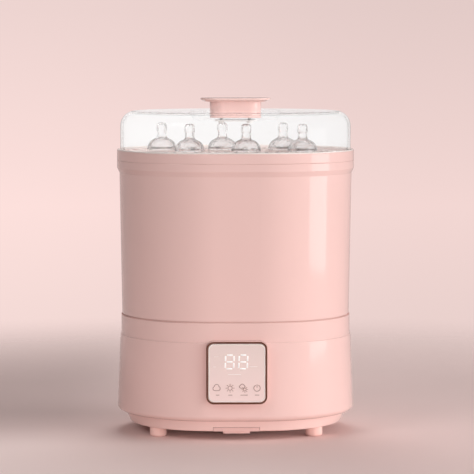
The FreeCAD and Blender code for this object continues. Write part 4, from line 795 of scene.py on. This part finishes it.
# ---- touch panel
class BuildPanel(bpy.types.Operator):
    """Metal trim, glossy face, lit digits and printed symbols of the touch panel"""

    bl_idname = "steriliser.build_panel"
    bl_label = "Touch panel"

    def execute(self, context):
        panel = settings(context, "panel")
        low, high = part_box("panel_face")
        self.middle, self.front = (low + high) / 2, low.y
        assign_slot("copper_trim", metal("copper_trim", panel.trim, 0.36, EVEN))
        assign_slot("panel_gloss", self.face(panel, low.z, high.z))
        glow = Finish("digit_glow")
        glow.set(Base_Color=panel.glow, Roughness=0.4)
        glow.set(Emission_Color=panel.glow, Emission_Strength=0.12)
        ink = Finish("symbol_ink")
        worn = ink.blend(ink.noise(500.0), panel.ink, shade(panel.ink, 1.25))
        ink.set(Base_Color=worn, Roughness=0.5)
        self.bevel(panel, low, high)
        self.digits(panel, glow.material)
        self.marks(panel, ink.material)
        self.symbols(panel, ink.material)
        return {"FINISHED"}

    def face(self, panel, low, high):
        """Gloss face, a little deeper in colour towards its top."""
        finish = Finish("panel_gloss")
        height = finish.step(finish.along("Z"), low, high)
        finish.set(
            Base_Color=finish.blend(height, panel.face_low, panel.face_high),
            Roughness=finish.noise(20.0) * 0.04 + 0.16,
            Coat_Weight=0.8,
            Coat_Roughness=COAT_ROUGHNESS,
        )
        return finish.material

    def fix(self, item, x, z):
        """Stand a piece drawn in the XY plane up on the face, with its front outwards."""
        item.data.transform(Euler((math.pi / 2, 0, 0)).to_matrix().to_4x4())
        item.data.transform(Matrix.Translation((x, self.front, z)))
        settle(item, "base", "panel_gloss")

    def bevel(self, panel, low, high):
        """The face's edge as a painted highlight: a thin pale sloping frame with round corners."""
        inset, width, radius, rise, turns = 0.1 * MM, 1.0 * MM, 7.0 * MM, 0.2 * MM, 8
        half_x, half_z = (high.x - low.x) / 2 - inset, (high.z - low.z) / 2 - inset
        points = []
        for drawn_in, level in ((0.0, 0.0), (0.0, rise), (width, rise * 0.3), (width, 0.0)):
            reach = radius - drawn_in
            for quarter, (side_x, side_z) in enumerate(((1, -1), (1, 1), (-1, 1), (-1, -1))):
                x, z = side_x * (half_x - radius), side_z * (half_z - radius)
                for step in range(turns + 1):
                    around = math.radians(90 * (quarter - 1) + 90 * step / turns)
                    points.append((x + reach * math.cos(around), z + reach * math.sin(around), level))
        count = 4 * (turns + 1)
        faces = [face for row in range(4) for face in band(row * count, (row + 1) % 4 * count, count)]
        item = new_piece("panel_bevel", points, faces)
        finish = Finish("panel_bevel")
        finish.set(Base_Color=panel.bevel, Roughness=finish.noise(30.0) * 0.1 + 0.15, Coat_Weight=0.8)
        assign(item, finish.material)
        self.fix(item, self.middle.x, self.middle.z)

    def digits(self, panel, material):
        """Two figures eight, each of seven round-ended bars that don't quite meet."""
        half_width, half_height = panel.digit_width / 2, panel.digit_height / 2
        stroke = panel.digit_stroke
        across, up = panel.digit_width - stroke * 1.35, half_height - stroke * 0.75
        bars = [(0, level * half_height, 0, across) for level in (-1, 0, 1)]
        bars += [(x * half_width, z * half_height / 2, 1, up) for x in (-1, 1) for z in (-1, 1)]
        lean = math.tan(panel.digit_lean)
        template = bar("digit_bar", across, stroke, 0.16 * MM)
        places = []
        for side in (-0.5, 0.5):
            for x, z, upright, span in bars:
                turn = math.pi / 2 - panel.digit_lean if upright else 0.0
                place = (side * panel.digit_pitch + x + z * lean, z, 0)
                places.append((place, (0, 0, turn), (span / across, 1, 1)))
        item = scatter("digits", template, places, material)
        self.fix(item, self.middle.x - 0.5 * MM, self.middle.z + 13.2 * MM)

    def marks(self, panel, ink):
        """Small lit marks by the digits, and a dash under each symbol."""
        lit_mark = Finish("lit_mark")
        faint = lit_mark.blend(lit_mark.noise(200.0), shade(panel.face_low, 1.06), panel.glow)
        lit_mark.set(Base_Color=faint, Roughness=0.4)
        span, width, thickness = 5.0 * MM, 0.75 * MM, 0.08 * MM
        kinds = (("lit_marks", LIT_MARKS, lit_mark.material), ("symbol_dashes", DASHES, ink))
        for name, rows, material in kinds:
            template = bar(name + "_bar", span, width, thickness)
            places = [((x * MM, z * MM, 0), (0, 0, 0), (long * MM / span, 1, 1)) for x, z, long in rows]
            self.fix(scatter(name, template, places, material), self.middle.x, self.middle.z)

    def symbols(self, panel, material):
        """Cloud, sun, sun behind a cloud and a power ring, over the four touch springs."""
        low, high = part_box("touch_springs")
        middle, spring = (low + high) / 2, high.z - low.z
        pitch = (high.x - low.x - spring) / 3
        columns = [middle.x + (number - 1.5) * pitch for number in range(4)]
        sun_x, sun_y = SMALL_SUN
        disc, power_ring = self.arc(0, 360, 20), self.arc(90 - 24, 90 - 340, -12)
        # Each line's column, its points in mm from the middle of the symbol, and whether it closes.
        lines = (
            (columns[0], [(x * 0.84, y * 0.92) for x, y in CLOUD], True),
            (columns[1], [(x * 2.5, y * 2.5) for x, y in disc], True),
            (columns[2], [(x * 0.66 - 1.5, y * 0.60 + 1.9) for x, y in CLOUD], True),
            (columns[2], [(x * 1.7 + sun_x, y * 1.7 + sun_y) for x, y in disc], True),
            (columns[3], [(x * 3.7, y * 3.7) for x, y in power_ring], False),
            (columns[3], [(0.0, 0.6), (0.0, 2.6), (0.0, 4.4)], False),
        )
        curve = bpy.data.curves.new("symbol_lines", "CURVE")
        curve.dimensions = "3D"
        curve.bevel_depth = panel.icon_stroke / 2
        curve.bevel_resolution = 2
        curve.use_fill_caps = True
        for column, points, closed in lines:
            spline = curve.splines.new("NURBS")
            spline.points.add(len(points) - 1)
            for point, (x, y) in zip(spline.points, points):
                point.co = (column + x * MM, y * MM, 0, 1)
            spline.order_u = 3
            spline.use_cyclic_u = closed
            spline.use_endpoint_u = not closed
        item = plain_copy(add("symbol_lines", curve), "symbol_lines")
        assign(item, material)
        self.fix(item, 0, middle.z)
        suns = (("sun_rays", columns[1], 0, 0, 1.0), ("small_sun_rays", columns[2], sun_x, sun_y, 0.72))
        for name, column, x, y, scale in suns:
            inner, outer, width = 3.6 * scale * MM, 5.1 * scale * MM, panel.icon_stroke * 0.9
            item = ray_ring(name, panel.rays, inner, outer, width, material)
            self.fix(item, column + x * MM, middle.z + y * MM)

    def arc(self, start, end, step):
        """Points of a circle of radius 1, from one angle towards another, in degrees."""
        turns = [math.radians(turn) for turn in range(start, end, step)]
        return [(math.cos(turn), math.sin(turn)) for turn in turns]


# ---- metal, boards and other inner pieces
class FinishInside(bpy.types.Operator):
    """Metals, circuit boards, ceramic and filter foam"""

    bl_idname = "steriliser.finish_inside"
    bl_label = "Finish inner pieces"

    def execute(self, context):
        metals = settings(context, "metal")
        assign_slot("steel", metal("steel", metals.steel, 0.3))
        # The steel handle screws are made pale: painted light in the shade under the backing.
        assign(NODES["handle_screws"], moulded("painted_light_screws", metals.painted_light_screw, 0.4))
        assign_slot("bronze", metal("bronze", metals.bronze, 0.42, EVEN))
        assign_slot("magnet", self.sintered(metals.magnet))
        assign_slot("coated_aluminium", self.coated(metals.coating))
        assign_slot("board_green", self.board())
        assign_slot("ceramic_heater", self.ceramic())
        assign_slot("filter_foam", self.foam())
        return {"FINISHED"}

    def sintered(self, rgb):
        finish = Finish("magnet")
        grain = finish.noise(700.0, 4.0)
        finish.set(Base_Color=finish.blend(grain, shade(rgb, 0.7), shade(rgb, 1.6)), Metallic=0.7)
        return finish.set(Roughness=grain * 0.2 + 0.45).bump(grain, 0.3, 0.05 * MM).material

    def coated(self, rgb):
        """Non-stick coating: dark, with pale flecks, over spun aluminium."""
        finish = Finish("coated_aluminium")
        flecks = finish.step(finish.noise(420.0, 3.0), 0.64, 0.70)
        finish.set(Base_Color=finish.blend(flecks, rgb, shade(rgb, 3.2)), Metallic=0.2)
        finish.set(Roughness=flecks * 0.1 + 0.4)
        return finish.bump(finish.noise(700.0), 0.2, 0.03 * MM).material

    def board(self):
        """Solder mask with paler copper runs under it."""
        finish = Finish("board_green")
        values = {
            "Vector": finish.place(), "Scale": 160.0, "Mortar Size": 0.035,
            "Color1": (0.02, 0.11, 0.045), "Color2": (0.02, 0.13, 0.05), "Mortar": (0.05, 0.24, 0.10),
        }
        runs = finish.node("ShaderNodeTexBrick", {}, values)
        finish.set(Base_Color=runs.out("Color"), Coat_Weight=0.4)
        finish.set(Roughness=finish.noise(60.0) * 0.1 + 0.28)
        return finish.bump(runs.out("Fac"), 0.25, 0.05 * MM).material

    def ceramic(self):
        finish = Finish("ceramic_heater")
        grain = finish.noise(500.0, 4.0)
        clay = finish.blend(grain, (0.50, 0.45, 0.38), (0.62, 0.57, 0.50))
        finish.set(Base_Color=clay, Roughness=0.75)
        return finish.bump(grain, 0.4, 0.06 * MM).material

    def foam(self):
        """Open foam: round cells with painted shade in their hollows."""
        finish = Finish("filter_foam")
        values = {"Vector": finish.place(), "Scale": 520.0}
        cells = finish.node("ShaderNodeTexVoronoi", {}, values).out("Distance")
        # Darker towards each cell's middle: painted shade in the hollows.
        painted_shading = finish.blend(finish.step(cells, 0.25, 0.65), (0.35, 0.35, 0.32), (0.72, 0.72, 0.68))
        finish.set(Base_Color=painted_shading, Roughness=0.95)
        return finish.bump(cells, 0.9, 0.6 * MM).material


# ---- studio
def softbox(name, watts, turn, rise, reach, size, aim=0.2, seen=True):
    """An area lamp aimed at a height on the object, turned from the front towards +X and raised, in
    degrees. One that isn't seen lights the pieces but isn't mirrored in them."""
    lamp = bpy.data.lights.new(name, "AREA")
    lamp.shape = "RECTANGLE"
    lamp.size, lamp.size_y = size
    lamp.energy = watts
    item = add(name, lamp)
    turn, rise = math.radians(turn), math.radians(rise)
    away = Vector((math.cos(rise) * math.sin(turn), -math.cos(rise) * math.cos(turn), math.sin(rise)))
    item.location = Vector((0, 0, aim)) + away * reach
    item.rotation_euler = (-away).to_track_quat("-Z", "Y").to_euler()
    item.visible_glossy = seen
    item.visible_transmission = False
    item.visible_camera = False


class BuildStage(bpy.types.Operator):
    """Floor, backdrop, lamps and camera"""

    bl_idname = "steriliser.build_stage"
    bl_label = "Studio"

    def execute(self, context):
        stage = settings(context, "stage")
        self.floor(stage)
        self.sky(context.scene, stage)
        softbox("key", stage.key, turn=43, rise=34, reach=2.0, size=(0.8, 0.8))
        softbox("fill", stage.fill, turn=-43, rise=30, reach=2.2, size=(0.9, 0.9))
        softbox("side", stage.side, turn=76.5, rise=0.6, reach=2.0, size=(0.95, 0.5))
        softbox("side_wide", stage.side_wide, turn=78, rise=14, reach=2.2, size=(1.2, 1.0), seen=False)
        softbox("low", stage.low * 0.58, turn=10, rise=3, reach=2.2, size=(1.6, 0.3), seen=False)
        softbox("low_right", stage.low * 0.36, turn=48, rise=6, reach=2.2, size=(1.0, 0.5), seen=False)
        softbox("rear", stage.rear, turn=180, rise=65, reach=2.0, size=(1.2, 1.2))
        softbox("back", stage.back, turn=168, rise=22, reach=2.4, size=(1.6, 0.8), seen=False)
        softbox("lid", stage.lid, turn=180, rise=42, reach=0.9, size=(0.5, 0.25), aim=0.36, seen=False)
        self.camera(context.scene, stage)
        context.scene.view_settings.view_transform = "Standard"
        return {"FINISHED"}

    def floor(self, stage):
        """A round floor that fades into the backdrop all round."""
        sides = FLOOR_SIDES
        points = [(0.0, 0.0, 0.0)]
        for radius in (stage.floor_whole, stage.floor_radius):
            points += ring(radius, 0.0, sides)
        faces = [(0, 1 + side, 1 + (side + 1) % sides) for side in range(sides)]
        item = new_piece("floor", points, faces + band(1 + sides, 1, sides))
        finish = Finish("floor")
        # A painted pool of light in front to the left and a painted shadow behind it, in metres from the
        # middle.
        across, back = finish.along("X"), finish.along("Y")
        painted_light_front_left = (1.0 - finish.step(back, -0.14, 0.04)) * (1.0 - finish.step(across, -0.02, 0.17))
        painted_shadow_back_left = finish.step(back, -0.05, 0.16) * (1.0 - finish.step(across, -0.24, -0.08))
        tone = finish.blend(painted_light_front_left, stage.floor, shade(stage.floor, 1.24))
        tone = finish.blend(painted_shadow_back_left, tone, shade(stage.floor, 0.80))
        finish.set(Base_Color=tone, Roughness=0.85, Specular_IOR_Level=0.15)
        distance = finish.vector("LENGTH", finish.place(), output="Value")
        gone = finish.step(distance, stage.floor_whole, stage.floor_radius)
        whole = Signal(finish, finish.shader.outputs[0])
        finish.show("Material Output", gone, whole, finish.node("ShaderNodeBsdfTransparent"))
        assign(item, finish.material)

    def sky(self, scene, stage):
        """The backdrop as it is seen, and an even light of its own."""
        world = bpy.data.worlds.new("studio")
        scene.world = world
        sky = Nodes(world)
        path = sky.node("ShaderNodeLightPath")
        through = path.out("Is Transmission Ray")
        seen = path.out("Is Camera Ray") + path.out("Is Glossy Ray") + through
        towards = sky.node("ShaderNodeTexCoord").out("Generated")
        values = {"Value": sky.along("Z", towards), "From Min": -0.12, "From Max": 0.01}
        height = sky.node("ShaderNodeMapRange", {}, values)
        stops = ((0.0, stage.sky_low), (0.4, stage.sky_middle), (1.0, stage.sky_high))
        shown = sky.node("ShaderNodeValToRGB", {"stops": stops}, {0: height})
        bright = sky.blend(through, shown, stage.sky_clear)
        # A little dimmer to the right, and dimmer still in a mirror.
        to_the_right = sky.step(sky.along("X", towards), -0.09, 0.10)
        mirrored = path.out("Is Glossy Ray") * (1.0 - through)
        strength = 1.025 - to_the_right * 0.095 - mirrored * 0.3
        backdrop = sky.node("ShaderNodeBackground", {}, {"Color": bright, "Strength": strength})
        lighting = sky.tree.nodes["Background"]
        sky.feed(lighting.inputs["Color"], AMBIENT_COLOUR)
        sky.feed(lighting.inputs["Strength"], stage.ambient)
        sky.show("World Output", seen.clamped(), Signal(sky, lighting.outputs[0]), backdrop)

    def camera(self, scene, stage):
        data = bpy.data.cameras.new("camera")
        data.lens = stage.camera_lens
        data.clip_end = 50
        item = add("camera", data)
        item.location = (-stage.camera_side, -stage.camera_distance, stage.camera_height)
        item.rotation_euler = (math.pi / 2 - stage.camera_pitch, 0, -stage.camera_turn)
        scene.camera = item


OPERATORS = (BuildStage, FinishCasings, FinishClear, FinishInside, BuildTeats, BuildBeads, BuildPanel)


class SteriliserPanel(bpy.types.Panel):
    """The pieces of the steriliser, in the order they are made"""

    bl_idname = "VIEW3D_PT_steriliser"
    bl_label = "Steriliser"
    bl_space_type = "VIEW_3D"
    bl_region_type = "UI"
    bl_category = "Steriliser"

    def draw(self, context):
        for operator in OPERATORS:
            self.layout.operator(operator.bl_idname)
        for group, kind in SETTINGS.items():
            box = self.layout.box()
            box.label(text=group.title())
            for name in kind.__annotations__:
                box.prop(settings(context, group), name)


CLASSES = tuple(SETTINGS.values()) + OPERATORS + (SteriliserPanel,)


def register():
    for item in CLASSES:
        bpy.utils.register_class(item)
    for group, kind in SETTINGS.items():
        setattr(bpy.types.Scene, "steriliser_" + group, PointerProperty(type=kind))


def unregister():
    for group in SETTINGS:
        delattr(bpy.types.Scene, "steriliser_" + group)
    for item in reversed(CLASSES):
        bpy.utils.unregister_class(item)


def main():
    register()
    for operator in OPERATORS:
        category, name = operator.bl_idname.split(".")
        getattr(getattr(bpy.ops, category), name)()


if __name__ == "__main__":
    main()
